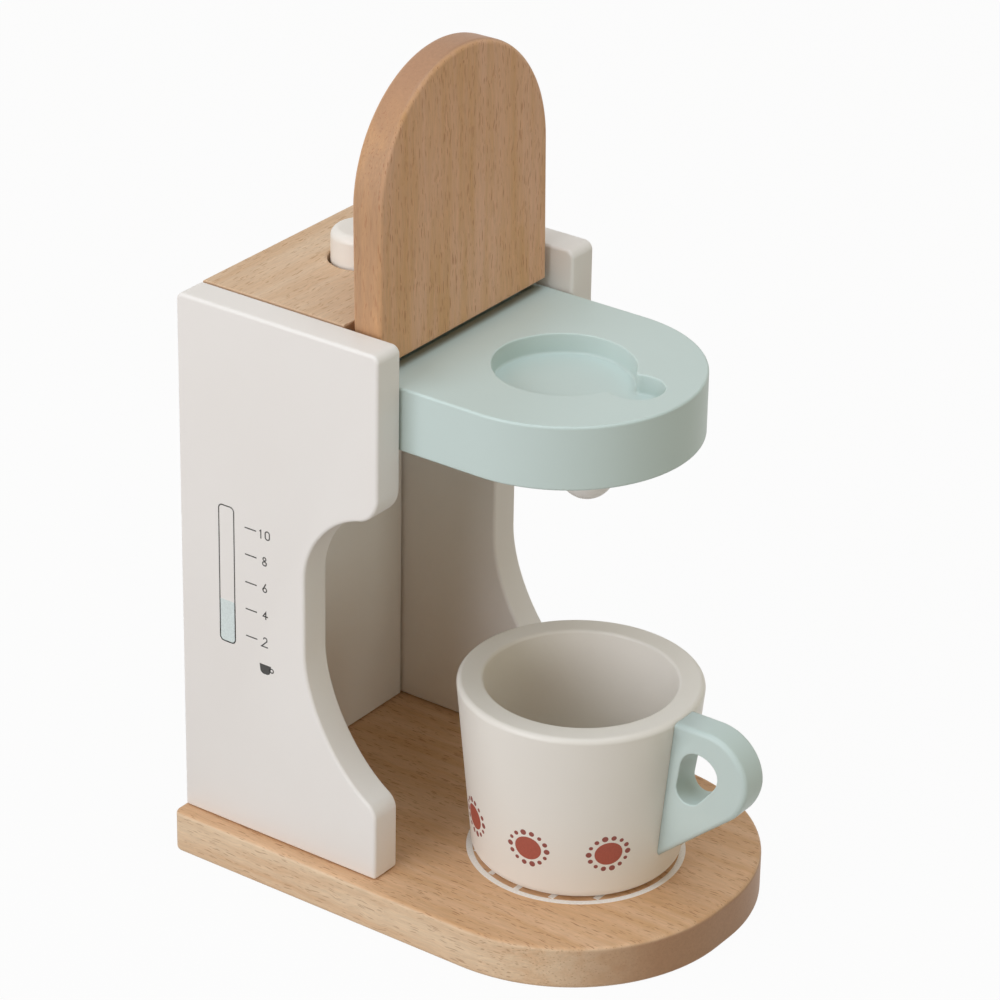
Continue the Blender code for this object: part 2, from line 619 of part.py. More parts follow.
def build_dowels(sides, top, head, back):
    """The dowels that hold the top plate, the brew head and the back panel between the sides."""
    for name, side, panel in sides:
        seams = []
        for end, share in zip(("rear", "front"), TOP_DOWEL_SHARES):
            seams.append(("top_dowel", end, top, between(TOP_REAR_Y, TOP_FRONT_Y, share), TOP_MID_Z))
        for end, share in zip(("rear", "front"), HEAD_DOWEL_SHARES):
            middle = HEAD_TOP_Z - HEAD_THICK / 2
            seams.append(("head_dowel", end, head, between(HEAD_REAR_Y, HEAD_FRONT_Y, share), middle))
        for end, share in zip(("lower", "upper"), BACK_DOWEL_SHARES):
            seams.append(("back_dowel", end, back, BACK_MID_Y, between(BASE_THICK, TOP_UNDER_Z, share)))
        for kind, end, piece, y, z in seams:
            dowel(f"{kind}_{name}_{end}", panel, piece, DOWEL_SIDE_DEPTH, DOWEL_BOARD_DEPTH,
                  Vector((side * INSIDE_HALF, y, z)), Vector((-side, 0, 0)), DOWEL_RADIUS)


def screw_profile(extra):
    """A countersunk screw from its head up, grown by a clearance."""
    neck = SCREW_HEAD_HEIGHT + extra
    return [Vector(p) for p in ((0, -extra), (SCREW_HEAD_RADIUS + extra, -extra),
                                (SCREW_RADIUS + extra, neck), (SCREW_RADIUS + extra, SCREW_LENGTH + extra),
                                (0, SCREW_LENGTH + extra))]


def build_screws(base, sides, back):
    """Screws up through the base into the edges of the side and back panels."""
    places = []
    for name, side, panel in sides:
        x = side * (INSIDE_HALF + SIDE_THICK / 2)
        for end, share in zip(("rear", "front"), SIDE_SCREW_SHARES):
            places.append((f"{name}_{end}", panel, x, between(SIDE_REAR_Y, SIDE_FRONT_Y, share)))
        places.append((f"back_{name}", back, side * INSIDE_HALF * BACK_SCREW_SHARE, BACK_MID_Y))
    for name, panel, x, y in places:
        screw = turned("base_screw_" + name, screw_profile(0), ROUND_SEGMENTS, MATERIALS["steel"])
        place(screw, (x, y, SCREW_SINK))
        hole = turned("screw_hole_" + name, screw_profile(GLUE_GAP), ROUND_SEGMENTS, MATERIALS["birch"])
        place(hole, (x, y, SCREW_SINK))
        cut(base, hole)
        cut(panel, hole)
        drill((base,), "screw_sink_" + name, SCREW_HEAD_RADIUS + GLUE_GAP, CUT_OVERRUN + SCREW_SINK,
              (x, y, (SCREW_SINK - CUT_OVERRUN) / 2))


clear_scene()
MATERIALS = {
    "beech": add_material("beech", BEECH),
    "white_paint": add_material("white_paint", WHITE_PAINT),
    "mint_paint": add_material("mint_paint", MINT_PAINT),
    "birch": add_material("birch", BIRCH),
    "steel": add_material("steel", STEEL, metallic=1.0),
}
BASE = build_base()
LEFT = build_side("left_side_panel", -1)
RIGHT = build_side("right_side_panel", 1)
SIDES = (("left", -1, LEFT), ("right", 1, RIGHT))
BACK = build_back()
TOP = build_top()
HEAD = build_head()
build_spout(HEAD)
LID = build_lid()
build_lid_pins(LID, SIDES)
build_button()
build_spring()
CUP = build_cup()
build_handle(CUP)
build_dowels(SIDES, TOP, HEAD, BACK)
build_screws(BASE, SIDES, BACK)
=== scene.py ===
"""A wooden toy coffee maker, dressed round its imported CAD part.

The sections follow the toy as it is put together, from the base board to the cup, and then the
studio that it stands in. Lengths are metres, angles are degrees and colours are sRGB.
"""
import json
import math

import bmesh
import bpy
from mathutils import Matrix, Vector


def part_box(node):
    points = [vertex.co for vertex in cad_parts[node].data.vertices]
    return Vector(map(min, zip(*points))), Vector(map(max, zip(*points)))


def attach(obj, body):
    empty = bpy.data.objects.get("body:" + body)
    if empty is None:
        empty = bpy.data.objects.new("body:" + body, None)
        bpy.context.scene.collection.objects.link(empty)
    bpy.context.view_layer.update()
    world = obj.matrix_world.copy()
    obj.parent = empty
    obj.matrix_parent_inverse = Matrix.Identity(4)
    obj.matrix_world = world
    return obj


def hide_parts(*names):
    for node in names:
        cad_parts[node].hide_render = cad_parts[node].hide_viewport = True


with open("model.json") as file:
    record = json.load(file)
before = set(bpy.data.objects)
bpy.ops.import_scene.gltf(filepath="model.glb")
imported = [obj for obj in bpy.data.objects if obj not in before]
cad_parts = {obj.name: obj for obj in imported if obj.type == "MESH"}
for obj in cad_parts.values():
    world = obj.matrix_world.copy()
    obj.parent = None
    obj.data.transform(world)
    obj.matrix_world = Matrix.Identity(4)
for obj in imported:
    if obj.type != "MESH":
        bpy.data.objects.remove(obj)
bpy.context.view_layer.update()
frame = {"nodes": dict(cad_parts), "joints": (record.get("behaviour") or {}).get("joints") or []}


# ---------------------------------------------------------------------------------------------
# Base board. One piece of steamed beech, sawn to a round front that is blunt at its tip, sanded
# over at its edges and oiled. Its grain runs from the rear to the front, with ray flecks along it.
# ---------------------------------------------------------------------------------------------
ARC_STEP = 3           # degrees of a rounded corner that one facet takes
SHORT_FACET = 0.00012  # and the least length of a facet round a tiny corner
RIM_STEPS = 6          # facets across a sanded edge
LEVEL_RING = 0.0001    # a narrow ring beside a sanded edge, which keeps the flat beyond it level
CREASE = 38            # faces that meet at more than this show an edge
WELD = 0.00006         # points nearer than this are one


def outline(bm, corners, closed=True):
    """Draws a line through corners (x, y, radius), rounds each and gives the points."""
    known = set(bm.verts)
    points = [bm.verts.new((x, y, 0)) for x, y, _ in corners]
    runs = list(zip(points, points[1:] + points[:1]))
    for run in runs if closed else runs[:-1]:
        bm.edges.new(run)
    rounds = []
    for i, (_, _, radius) in enumerate(corners):
        if radius:
            arriving = points[i].co - points[i - 1].co
            leaving = points[(i + 1) % len(points)].co - points[i].co
            turn = arriving.angle(leaving)
            facets = min(math.degrees(turn) / ARC_STEP, radius * turn / SHORT_FACET)
            rounds.append((points[i], radius * math.tan(turn / 2), max(2, math.ceil(facets))))
    for point, reach, facets in rounds:
        bmesh.ops.bevel(bm, geom=[point], offset=reach, offset_type="OFFSET", affect="VERTICES",
                        segments=facets, profile=0.5, material=-1, clamp_overlap=False)
    bmesh.ops.remove_doubles(bm, verts=[v for v in bm.verts if v not in known], dist=WELD)
    return [v for v in bm.verts if v not in known]


def disc(x, y, radius):
    """The corners of a round outline."""
    signs = ((-1, -1), (1, -1), (1, 1), (-1, 1))
    return [(x + i * radius, y + j * radius, radius) for i, j in signs]


def once(parts, links):
    """All that the parts of a mesh have as their verts or edges, each once and in order."""
    return list(dict.fromkeys(link for part in parts for link in getattr(part, links)))


def draw_in(bm, faces, up, steps):
    """Draws a patch of faces in and along Z, step by step, as (inward, along) pairs."""
    for inward, along in steps:
        bmesh.ops.inset_region(bm, faces=faces, thickness=inward, depth=0, use_boundary=True,
                               use_even_offset=True)
        bmesh.ops.translate(bm, vec=(0, 0, up * along), verts=once(faces, "verts"))


def only(kind, geom):
    """The points, edges or faces among what a bmesh operator gives back."""
    return [part for part in geom if isinstance(part, kind)]


def sanded(rounding):
    """The steps round a sanded edge, from a board's wall on to its face."""
    turns = [math.radians(90 * i / RIM_STEPS) for i in range(RIM_STEPS + 1)]
    steps = [(rounding * (math.cos(a) - math.cos(b)), rounding * (math.sin(b) - math.sin(a)))
             for a, b in zip(turns, turns[1:])]
    return [(0, LEVEL_RING)] + steps + [(LEVEL_RING, 0)]


def eased(rounding):
    """The steps round a sanded rim, from a board's face down into a hole."""
    return [(LEVEL_RING, 0)] + sanded(rounding)[-2:0:-1]


def board(thickness, rounding, corners, holes=(), pockets=(), sinks=(), under=None):
    """A board in XY, centred on its thickness, with both of its faces sanded over at the edge.

    Holes are bored from both faces to the middle, pockets are sunk from the upper face and sinks
    from the lower one. Each is an (outline, steps) pair, drawn where its rim begins on the face.
    The lower face is sanded to a rounding of its own if one is given.
    """
    under = under or rounding
    bm = bmesh.new()
    outline(bm, corners)
    upper = bmesh.ops.contextual_create(bm, geom=bm.edges[:])["faces"]
    half = thickness / 2 - rounding - LEVEL_RING
    bmesh.ops.translate(bm, vec=(0, 0, half), verts=bm.verts[:])
    lifted = bmesh.ops.extrude_face_region(bm, geom=upper)["geom"]
    lower = only(bmesh.types.BMFace, lifted)
    bmesh.ops.translate(bm, vec=(0, 0, under + rounding + 2 * LEVEL_RING - thickness),
                        verts=only(bmesh.types.BMVert, lifted))
    draw_in(bm, upper, 1, sanded(rounding))
    draw_in(bm, lower, -1, sanded(under))
    bored = []
    for face, up, cuts in ((upper[0], 1, (*holes, *pockets)), (lower[0], -1, (*holes, *sinks))):
        if cuts:
            rim = face.edges[:]
            bmesh.ops.delete(bm, geom=[face], context="FACES_ONLY")
            patches = []
            for shape, steps in cuts:
                points = outline(bm, shape)
                bmesh.ops.translate(bm, vec=(0, 0, up * thickness / 2), verts=points)
                patches.append((once(points, "link_edges"), steps))
            rim += [edge for edges, _ in patches for edge in edges]
            bmesh.ops.triangle_fill(bm, use_beauty=True, use_dissolve=False, edges=rim)
            for i, (edges, steps) in enumerate(patches):
                patch = bmesh.ops.contextual_create(bm, geom=edges)["faces"]
                draw_in(bm, patch, -up, steps)
                if i < len(holes):
                    bored += patch
    seam = once(bored, "verts")
    bmesh.ops.delete(bm, geom=bored, context="FACES_ONLY")
    bmesh.ops.remove_doubles(bm, verts=seam, dist=WELD)
    bmesh.ops.recalc_face_normals(bm, faces=bm.faces[:])
    return bm


def bring_in(item):
    """Puts an object in the scene."""
    bpy.context.scene.collection.objects.link(item)


def piece(name, bm, body, slot, material, *nodes):
    """Makes a mesh a piece of the toy: it rides on a body and may stand for CAD nodes."""
    mesh = bpy.data.meshes.new(name)
    bm.to_mesh(mesh)
    bm.free()
    mesh.shade_smooth()
    mesh.set_sharp_from_angle(angle=math.radians(CREASE))
    mesh.materials.append(material)
    item = bpy.data.objects.new(name, mesh)
    bring_in(item)
    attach(item, body)
    if nodes:
        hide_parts(*nodes)
    return item


def colour(code):
    """An sRGB hex colour as linear RGBA."""
    levels = [int(code[i:i + 2], 16) / 255 for i in (1, 3, 5)]
    return [(c / 12.92 if c <= 0.04045 else ((c + 0.055) / 1.055) ** 2.4) for c in levels] + [1]


def add(tree, kind, inputs=(), **settings):
    """Adds a shader node with its settings; its inputs are values, or outputs to link."""
    node = tree.nodes.new("ShaderNode" + kind)
    for name, value in settings.items():
        setattr(node, name, value)
    for name, value in dict(inputs).items():
        if isinstance(value, bpy.types.NodeSocket):
            tree.links.new(value, node.inputs[name])
        else:
            node.inputs[name].default_value = value
    return node


def new_finish(name):
    """An empty material, its tree and its Principled shader."""
    material = bpy.data.materials.new(name)
    material.use_nodes = True
    return material, material.node_tree, material.node_tree.nodes["Principled BSDF"]


WANDER_SCALE = 130         # the grain strays to the side every 8 mm or so
WANDER = 0.0018            # and by at most this
BAND = (0.09, 0.0055)      # length and width of a growth band
FIBRE = (0.008, 0.00055)   # a real fibre is finer still and wouldn't show
PORE_SCALE = 900           # the same holds for the pores, here a millimetre apart
MIDDLE = (0.3, 0.7)        # where most of a noise lies
BAND_RANGE = (0.32, 0.68)
SAWN_RANGE = (0.42, 0.72)
SAWN_BANDS = 0.6           # how far the bands go on a sawn edge
EDGE_RANGE = (0.35, 0.8)   # how squarely a surface faces out, from an edge to the face
END_RANGE = (0.45, 0.9)    # and along the grain, from a long edge to the end
FIBRE_TONES = (0.89, 1.08)
PORE_TONES = (0.94, 1.05)
FINE_FLECKS = (0.15, 0.44)         # share of cells without a fleck, and the largest fleck
BOLD_FLECKS = (0.6, 0.36)
BOLD_LENGTH, BOLD_WIDTH = 1.5, 1.25        # in fine flecks
FLECK_EDGE = 0.12
FINE_COVER, BOLD_COVER = 0.52, 0.6
EDGE_COVER, END_COVER = 0.7, 0.4           # how much of a fleck is left there
OIL_ROUGHNESS = (0.48, 0.7)        # of oiled wood and of a fleck
GRAIN_RELIEF = 0.00005
WOOD_IOR = 1.47
WOOD_GLOSS = 0.3


def beech(name, grain, face, pale, tan, sawn_tone_and_painted_light, end_grain_and_painted_shade, fleck, fleck_length, fleck_width,
          offset=0.0):
    """Oiled beech: a fine straight fibre, soft growth bands and short dark ray flecks.

    The grain is the axis (0, 1 or 2) that the tree grew along, and the face is the axis through
    the board. Wood is glossy only in its oil film, so the shine is broad and low, and the open
    flecks are duller and sit a hair deeper. Its sawn edges take the oil differently and have a
    tone of their own, which also carries painted light and shade. Where an edge cuts across
    the grain its open ends drink the oil: it has another tone there, darker partly as painted
    shade, with fine pores in place of the fibre, and hardly a fleck.
    """
    material, tree, shader = new_finish(name)
    inside = add(tree, "TexCoord")
    wander = add(tree, "TexNoise", {"Vector": inside.outputs["Object"], "Scale": WANDER_SCALE,
                                    "Detail": 1})
    place = add(tree, "VectorMath", {0: wander.outputs["Color"], 1: (WANDER, WANDER, WANDER),
                                     2: inside.outputs["Object"]}, operation="MULTIPLY_ADD")
    place = place.outputs[0]

    def along_grain(length, width, shift):
        scale = [1 / width] * 3
        scale[grain] = 1 / length
        return add(tree, "Mapping", {"Vector": place, "Scale": scale,
                                     "Location": (shift, shift, shift)}).outputs[0]

    def flecks(length, width, shift, rare, largest):
        cells = add(tree, "TexVoronoi", {"Vector": along_grain(length, width, shift), "Scale": 1,
                                         "Randomness": 1})
        some = add(tree, "SeparateColor", {"Color": cells.outputs["Color"]})
        size = add(tree, "MapRange", {"Value": some.outputs["Red"], "From Min": rare,
                                      "To Max": largest})
        depth = maths("SUBTRACT", size.outputs[0], cells.outputs["Distance"])
        return add(tree, "MapRange", {"Value": depth, "From Max": FLECK_EDGE}).outputs[0]

    def share(value, low, high, low_to, high_to):
        return add(tree, "MapRange", {"Value": value, "From Min": low, "From Max": high,
                                      "To Min": low_to, "To Max": high_to}).outputs[0]

    def maths(operation, first, second):
        return add(tree, "Math", {0: first, 1: second}, operation=operation).outputs[0]

    def mix(factor, first, second, blend="MIX"):
        return add(tree, "Mix", {0: factor, 6: first, 7: second}, data_type="RGBA",
                   blend_type=blend).outputs[2]

    level = add(tree, "VectorMath", {0: inside.outputs["Normal"]}, operation="ABSOLUTE")
    level = add(tree, "SeparateXYZ", {"Vector": level.outputs[0]})
    edge = share(level.outputs[face], *EDGE_RANGE, 1, 0)
    end = share(level.outputs[grain], *END_RANGE, 0, 1)
    bands = add(tree, "TexNoise", {"Vector": along_grain(*BAND, offset), "Scale": 1, "Detail": 3,
                                   "Roughness": 0.55, "Distortion": 0.35}).outputs["Fac"]
    fibre = add(tree, "TexNoise", {"Vector": along_grain(*FIBRE, offset + 3), "Scale": 1,
                                   "Detail": 4, "Roughness": 0.65}).outputs["Fac"]
    pores = add(tree, "TexNoise", {"Vector": place, "Scale": PORE_SCALE, "Detail": 3,
                                   "Roughness": 0.6}).outputs["Fac"]
    ground = mix(share(bands, *BAND_RANGE, 0, 1), colour(pale), colour(tan))
    # The sawn-edge and end-grain tones are the oil's take-up and also painted light and shade: a
    # paler painted sheen on the base's sides, painted shade on the base's round front and on the
    # lid's edges.
    edge_tone_and_painted_light = mix(share(bands, *SAWN_RANGE, 0, SAWN_BANDS), colour(sawn_tone_and_painted_light), colour(tan))
    edge_tone_and_painted_light = mix(end, edge_tone_and_painted_light, colour(end_grain_and_painted_shade))
    ground = mix(edge, ground, edge_tone_and_painted_light)
    streaks = add(tree, "Mix", {0: end, 2: share(fibre, *MIDDLE, *FIBRE_TONES),
                                3: share(pores, *MIDDLE, *PORE_TONES)})
    fibred = mix(1.0, ground, streaks.outputs[0], "MULTIPLY")
    fine = flecks(fleck_length, fleck_width, offset + 7, *FINE_FLECKS)
    bold = flecks(fleck_length * BOLD_LENGTH, fleck_width * BOLD_WIDTH, offset + 11, *BOLD_FLECKS)
    fine, bold = maths("MULTIPLY", fine, FINE_COVER), maths("MULTIPLY", bold, BOLD_COVER)
    rays = maths("MAXIMUM", fine, bold)
    rays = maths("MULTIPLY", rays, share(edge, 0, 1, 1, EDGE_COVER))
    rays = maths("MULTIPLY", rays, share(end, 0, 1, 1, END_COVER))
    tree.links.new(mix(rays, fibred, colour(fleck)), shader.inputs["Base Color"])
    tree.links.new(share(rays, 0, 1, *OIL_ROUGHNESS), shader.inputs["Roughness"])
    bump = add(tree, "Bump", {"Height": maths("SUBTRACT", fibre, rays), "Strength": 0.25,
                              "Distance": GRAIN_RELIEF})
    tree.links.new(bump.outputs[0], shader.inputs["Normal"])
    shader.inputs["IOR"].default_value = WOOD_IOR
    shader.inputs["Specular IOR Level"].default_value = WOOD_GLOSS
    return material


BASE_ROUNDING = 0.0014
BASE_CORNER = 0.003
BASE_TIP = 0.0076          # the straight stretch at the tip
SCREW_SINK_RADIUS = 0.0040
SCREW_NECK_RADIUS = 0.002
SCREW_SINK_DEPTH = 0.0005
SCREW_CONE_DEPTH = 0.0028

base_low, base_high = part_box("base_plate")
base_half = base_high.x
base_round = base_half - BASE_TIP / 2
base_corners = [(-base_half, base_high.y, BASE_CORNER), (base_half, base_high.y, BASE_CORNER),
                (base_half, base_low.y, base_round), (-base_half, base_low.y, base_round)]
screws = [name for name in frame["nodes"] if name.startswith("base_screw")]
sink = [(0, SCREW_SINK_DEPTH), (SCREW_SINK_RADIUS - SCREW_NECK_RADIUS, SCREW_CONE_DEPTH)]
sinks = []
for screw in screws:
    middle = sum(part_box(screw), Vector()) / 2
    sinks.append((disc(middle.x, middle.y, SCREW_SINK_RADIUS), sink))
bm = board(base_high.z - base_low.z, BASE_ROUNDING, base_corners, sinks=sinks)
bmesh.ops.translate(bm, vec=(0, 0, (base_low.z + base_high.z) / 2), verts=bm.verts[:])
# Its paler sawn tone is partly a painted sheen on the base's sides, and its darker end-grain tone
# partly painted shade on its round front.
base_beech = beech("oiled_beech_base", grain=1, face=2, pale="#DEB792", tan="#D0A378",
                   sawn_tone_and_painted_light="#E7CCAC", end_grain_and_painted_shade="#B38B6B", fleck="#8C542E",
                   fleck_length=0.0052, fleck_width=0.00056)
piece("beech_base", bm, "housing", "beech", base_beech, "base_plate")


# ---------------------------------------------------------------------------------------------
# Base screws. Six countersunk steel wood screws, zinc plated, driven up through the base into the
# feet of the panels. The CAD nodes stay and take the plated finish, as the lid's pins and the
# button's spring do: a pale grey metal with a soft, slightly uneven shine.
# ---------------------------------------------------------------------------------------------
SPANGLE_SCALE = 900        # zinc crystals about a millimetre across
ZINC_ROUGHNESS = (0.24, 0.42)


def refinish(names, material):
    """Gives CAD nodes that stay a finish."""
    for name in names:
        materials = frame["nodes"][name].data.materials
        materials.clear()
        materials.append(material)


zinc, tree, shader = new_finish("zinc_plated_steel")
place = add(tree, "TexCoord").outputs["Object"]
spangle = add(tree, "TexNoise", {"Vector": place, "Scale": SPANGLE_SCALE, "Detail": 3})
wear = add(tree, "MapRange", {"Value": spangle.outputs["Fac"], "To Min": ZINC_ROUGHNESS[0],
                              "To Max": ZINC_ROUGHNESS[1]})
tree.links.new(wear.outputs[0], shader.inputs["Roughness"])
shader.inputs["Base Color"].default_value = colour("#C9CACB")
shader.inputs["Metallic"].default_value = 1.0
refinish([*screws, "lid_pin_left", "lid_pin_right", "button_spring"], zinc)


# ---------------------------------------------------------------------------------------------
# Dowels. Birch pegs glued across the seams, out of sight in blind holes. The CAD nodes stay and
# take a pale straw wood, dull and lightly mottled.
# ---------------------------------------------------------------------------------------------
MOTTLE_SCALE = 700         # about 1.4 mm
BIRCH_ROUGHNESS = 0.6

birch, tree, shader = new_finish("birch_dowel")
place = add(tree, "TexCoord").outputs["Object"]
mottle = add(tree, "TexNoise", {"Vector": place, "Scale": MOTTLE_SCALE, "Detail": 3})
shade = add(tree, "Mix", {0: mottle.outputs["Fac"], 6: colour("#E6CFA8"), 7: colour("#D4B88C")},
            data_type="RGBA")
tree.links.new(shade.outputs[2], shader.inputs["Base Color"])
shader.inputs["Roughness"].default_value = BIRCH_ROUGHNESS
refinish([name for name in frame["nodes"] if "_dowel_" in name], birch)


# ---------------------------------------------------------------------------------------------
# Side panels. Two boards sprayed off-white, with a waist sawn out of the front edge: a tight
# curve above, a straight stretch and a longer curve below. They stand square on the base.
# ---------------------------------------------------------------------------------------------
CLOUD_SCALE = 28           # the coat varies a little every 36 mm or so
PEEL_SCALE = 700           # the grains of the orange peel are about 1.4 mm
PEEL_RELIEF = 0.0001
SATIN_SPREAD = (-0.03, 0.04)       # the roughness, in the clouds
PAINT_IOR = 1.48
PAINT_GLOSS = 0.35


def paint(name, coat, worn, roughness, peel=0.12):
    """Water-based spray paint on sanded wood: even and satin, with a faint orange peel."""
    material, tree, shader = new_finish(name)
    place = add(tree, "TexCoord").outputs["Object"]
    cloud = add(tree, "TexNoise", {"Vector": place, "Scale": CLOUD_SCALE, "Detail": 3,
                                   "Roughness": 0.5}).outputs["Fac"]
    shade = add(tree, "Mix", {0: cloud, 6: colour(coat), 7: colour(worn)}, data_type="RGBA")
    tree.links.new(shade.outputs[2], shader.inputs["Base Color"])
    grains = add(tree, "TexNoise", {"Vector": place, "Scale": PEEL_SCALE, "Detail": 2,
                                    "Roughness": 0.5})
    satin = add(tree, "MapRange", {"Value": cloud, "From Min": MIDDLE[0], "From Max": MIDDLE[1],
                                   "To Min": roughness + SATIN_SPREAD[0],
                                   "To Max": roughness + SATIN_SPREAD[1]})
    tree.links.new(satin.outputs[0], shader.inputs["Roughness"])
    bump = add(tree, "Bump", {"Height": grains.outputs["Fac"], "Strength": peel,
                              "Distance": PEEL_RELIEF})
    tree.links.new(bump.outputs[0], shader.inputs["Normal"])
    shader.inputs["IOR"].default_value = PAINT_IOR
    shader.inputs["Specular IOR Level"].default_value = PAINT_GLOSS
    return material


def waist_bend(front, waist, height, curve, corner, up):
    """The corners of the S bend from the front edge to the waist, with their two radii."""
    turn = math.acos(1 - (waist - front) / (curve + corner))
    inner = height + up * curve * math.tan(turn / 2)
    outer = inner + up * (curve + corner) * math.tan(turn / 2) * math.cos(turn)
    return (front, outer, corner), (waist, inner, curve)


def put(bm, matrix):
    """Turns a mesh and moves it to its place on the toy."""
    bmesh.ops.transform(bm, matrix=matrix, verts=bm.verts[:])


SIDE_ROUNDING = 0.0011
SIDE_CORNER = 0.003        # at the top of the front edge
REAR_CORNER = 0.0024
TOPS_OFF = {"left_side_panel": 0.0004, "right_side_panel": -0.0003}    # cut a little long or short
WAIST_DEPTH = 0.050        # what is left of the board there
WAIST_TOP = 0.0991
WAIST_LOW = 0.0731
UPPER_CURVE = 0.0285
LOWER_CURVE = 0.0545
NOSE = 0.0095              # the front edge's corners above and below the waist
TOE = 0.0060
FRONT_SANDED = 0.0005      # taken off the front edge
FOOT_SANDED = 0.0008       # and off the front of the foot
INNER_SANDED = 0.0004      # and off the inner face
SAW_ALLOWANCE = 0.01       # the foot is left long, and then sawn off square
FOOT_ROUNDING = 0.0008
FOOT_STEPS = 3
ON_EDGE = Matrix(((0, 0, 1, 0), (1, 0, 0, 0), (0, 1, 0, 0), (0, 0, 0, 1)))     # from XY to YZ

off_white = paint("off_white_paint", coat="#F1EDE9", worn="#EEE9E4", roughness=0.44)
for name in ("left_side_panel", "right_side_panel"):
    low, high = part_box(name)
    top = high.z + TOPS_OFF[name]
    waist = high.y - WAIST_DEPTH
    front, foot_front = low.y + FRONT_SANDED, low.y + FOOT_SANDED
    nose, upper = waist_bend(front, waist, low.z + WAIST_TOP, UPPER_CURVE, NOSE, 1)
    toe, lower = waist_bend(foot_front, waist, low.z + WAIST_LOW, LOWER_CURVE, TOE, -1)
    foot = low.z - SAW_ALLOWANCE
    inward = math.copysign(INNER_SANDED, low.x)
    middle = (low.x + high.x + inward) / 2
    bm = board(high.x - low.x - INNER_SANDED, SIDE_ROUNDING,
               [(foot_front, foot, 0), (high.y, foot, 0), (high.y, top, REAR_CORNER),
                (front, top, SIDE_CORNER), nose, upper, lower, toe])
    cut = bmesh.ops.bisect_plane(bm, geom=bm.verts[:] + bm.edges[:] + bm.faces[:],
                                 plane_co=(0, low.z, 0), plane_no=(0, 1, 0), clear_inner=True)
    rim = only(bmesh.types.BMEdge, cut["geom_cut"])
    bmesh.ops.contextual_create(bm, geom=rim)
    bmesh.ops.bevel(bm, geom=rim, offset=FOOT_ROUNDING, offset_type="OFFSET", affect="EDGES",
                    segments=FOOT_STEPS, profile=0.5, material=-1)
    put(bm, Matrix.Translation((middle, 0, 0)) @ ON_EDGE)
    piece(name.replace("side_panel", "panel"), bm, "housing", "white_paint", off_white, name)


# ---------------------------------------------------------------------------------------------
# Back panel. A plain painted board between the side panels, which closes the rear of the bay.
# ---------------------------------------------------------------------------------------------
PLATE_ROUNDING = 0.0007


def rectangle(left, right, low, high):
    """The corners of a square-cornered outline."""
    return [(left, low, 0), (right, low, 0), (right, high, 0), (left, high, 0)]


low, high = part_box("back_panel")
bm = board(high.y - low.y, PLATE_ROUNDING, rectangle(low.x, high.x, low.z, high.z))
put(bm, Matrix.Translation((0, (low.y + high.y) / 2, 0))
    @ Matrix.Rotation(math.radians(90), 4, "X"))
piece("rear_panel", bm, "housing", "white_paint", off_white, "back_panel")


# ---------------------------------------------------------------------------------------------
# Top plate. Oiled beech, glued between the panels behind the lid, with its grain running across
# from panel to panel and a clean drilled hole for the button.
# ---------------------------------------------------------------------------------------------
BUTTON_HOLE = 0.0109
PLATE_SUNK = 0.0006        # it lies almost level with the panels' tops
PLATE_LONG = 0.0007        # and reaches nearly to their rear edges

low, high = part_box("top_plate")
high -= Vector((0, -PLATE_LONG, PLATE_SUNK))
button_y = sum(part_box("button"), Vector()).y / 2
thick = high.z - low.z
bore = eased(PLATE_ROUNDING) + [(0, thick / 2 - PLATE_ROUNDING)]
bm = board(thick, PLATE_ROUNDING, rectangle(low.x, high.x, low.y, high.y),
           holes=[(disc(0, button_y, BUTTON_HOLE + PLATE_ROUNDING + LEVEL_RING), bore)])
bmesh.ops.translate(bm, vec=(0, 0, (low.z + high.z) / 2), verts=bm.verts[:])
top_beech = beech("oiled_beech_top", grain=0, face=2, pale="#DEC2A4", tan="#D5B28E",
                  sawn_tone_and_painted_light="#D6B799", end_grain_and_painted_shade="#C8A688", fleck="#A67A52",
                  fleck_length=0.0046, fleck_width=0.00052, offset=20)
piece("beech_top", bm, "housing", "beech", top_beech, "top_plate")


# ---------------------------------------------------------------------------------------------
# Brew head. A thick board sprayed pale mint, with a full-round front. A router has sunk a flat
# pocket for a toy pod, with a round finger notch that runs into it at the front, and a slot at the
# rear that gives the lid's lower end room to turn.
# ---------------------------------------------------------------------------------------------
HEAD_ROUNDING = 0.0008
POD_RADIUS = 0.0227
POD_DEPTH = 0.0068
FINGER_RADIUS = 0.0090
FINGER_REACH = 0.0041      # from the pocket's rim to the notch's centre
CUSP_ROUNDING = 0.0018     # where the pocket and the notch meet
LIP_ROUNDING = 0.0005      # the pocket's rim
FLOOR_ROUNDING = 0.0009    # the pocket's floor
SLOT = (0.0218, 0.0312)    # the front and the rear of the slot under the lid
SLOT_END = 0.0025          # wood left at each end of it
SLOT_DEPTH = 0.008


def sweep(x, y, radius, start, end, parts):
    """The corners round an arc, from a start to an end angle."""
    part = (end - start) / parts
    reach = radius / math.cos(math.radians(part) / 2)
    turns = [math.radians(start + part * (i + 0.5)) for i in range(parts)]
    return [(x + reach * math.cos(turn), y + reach * math.sin(turn), radius)
            for turn in turns]


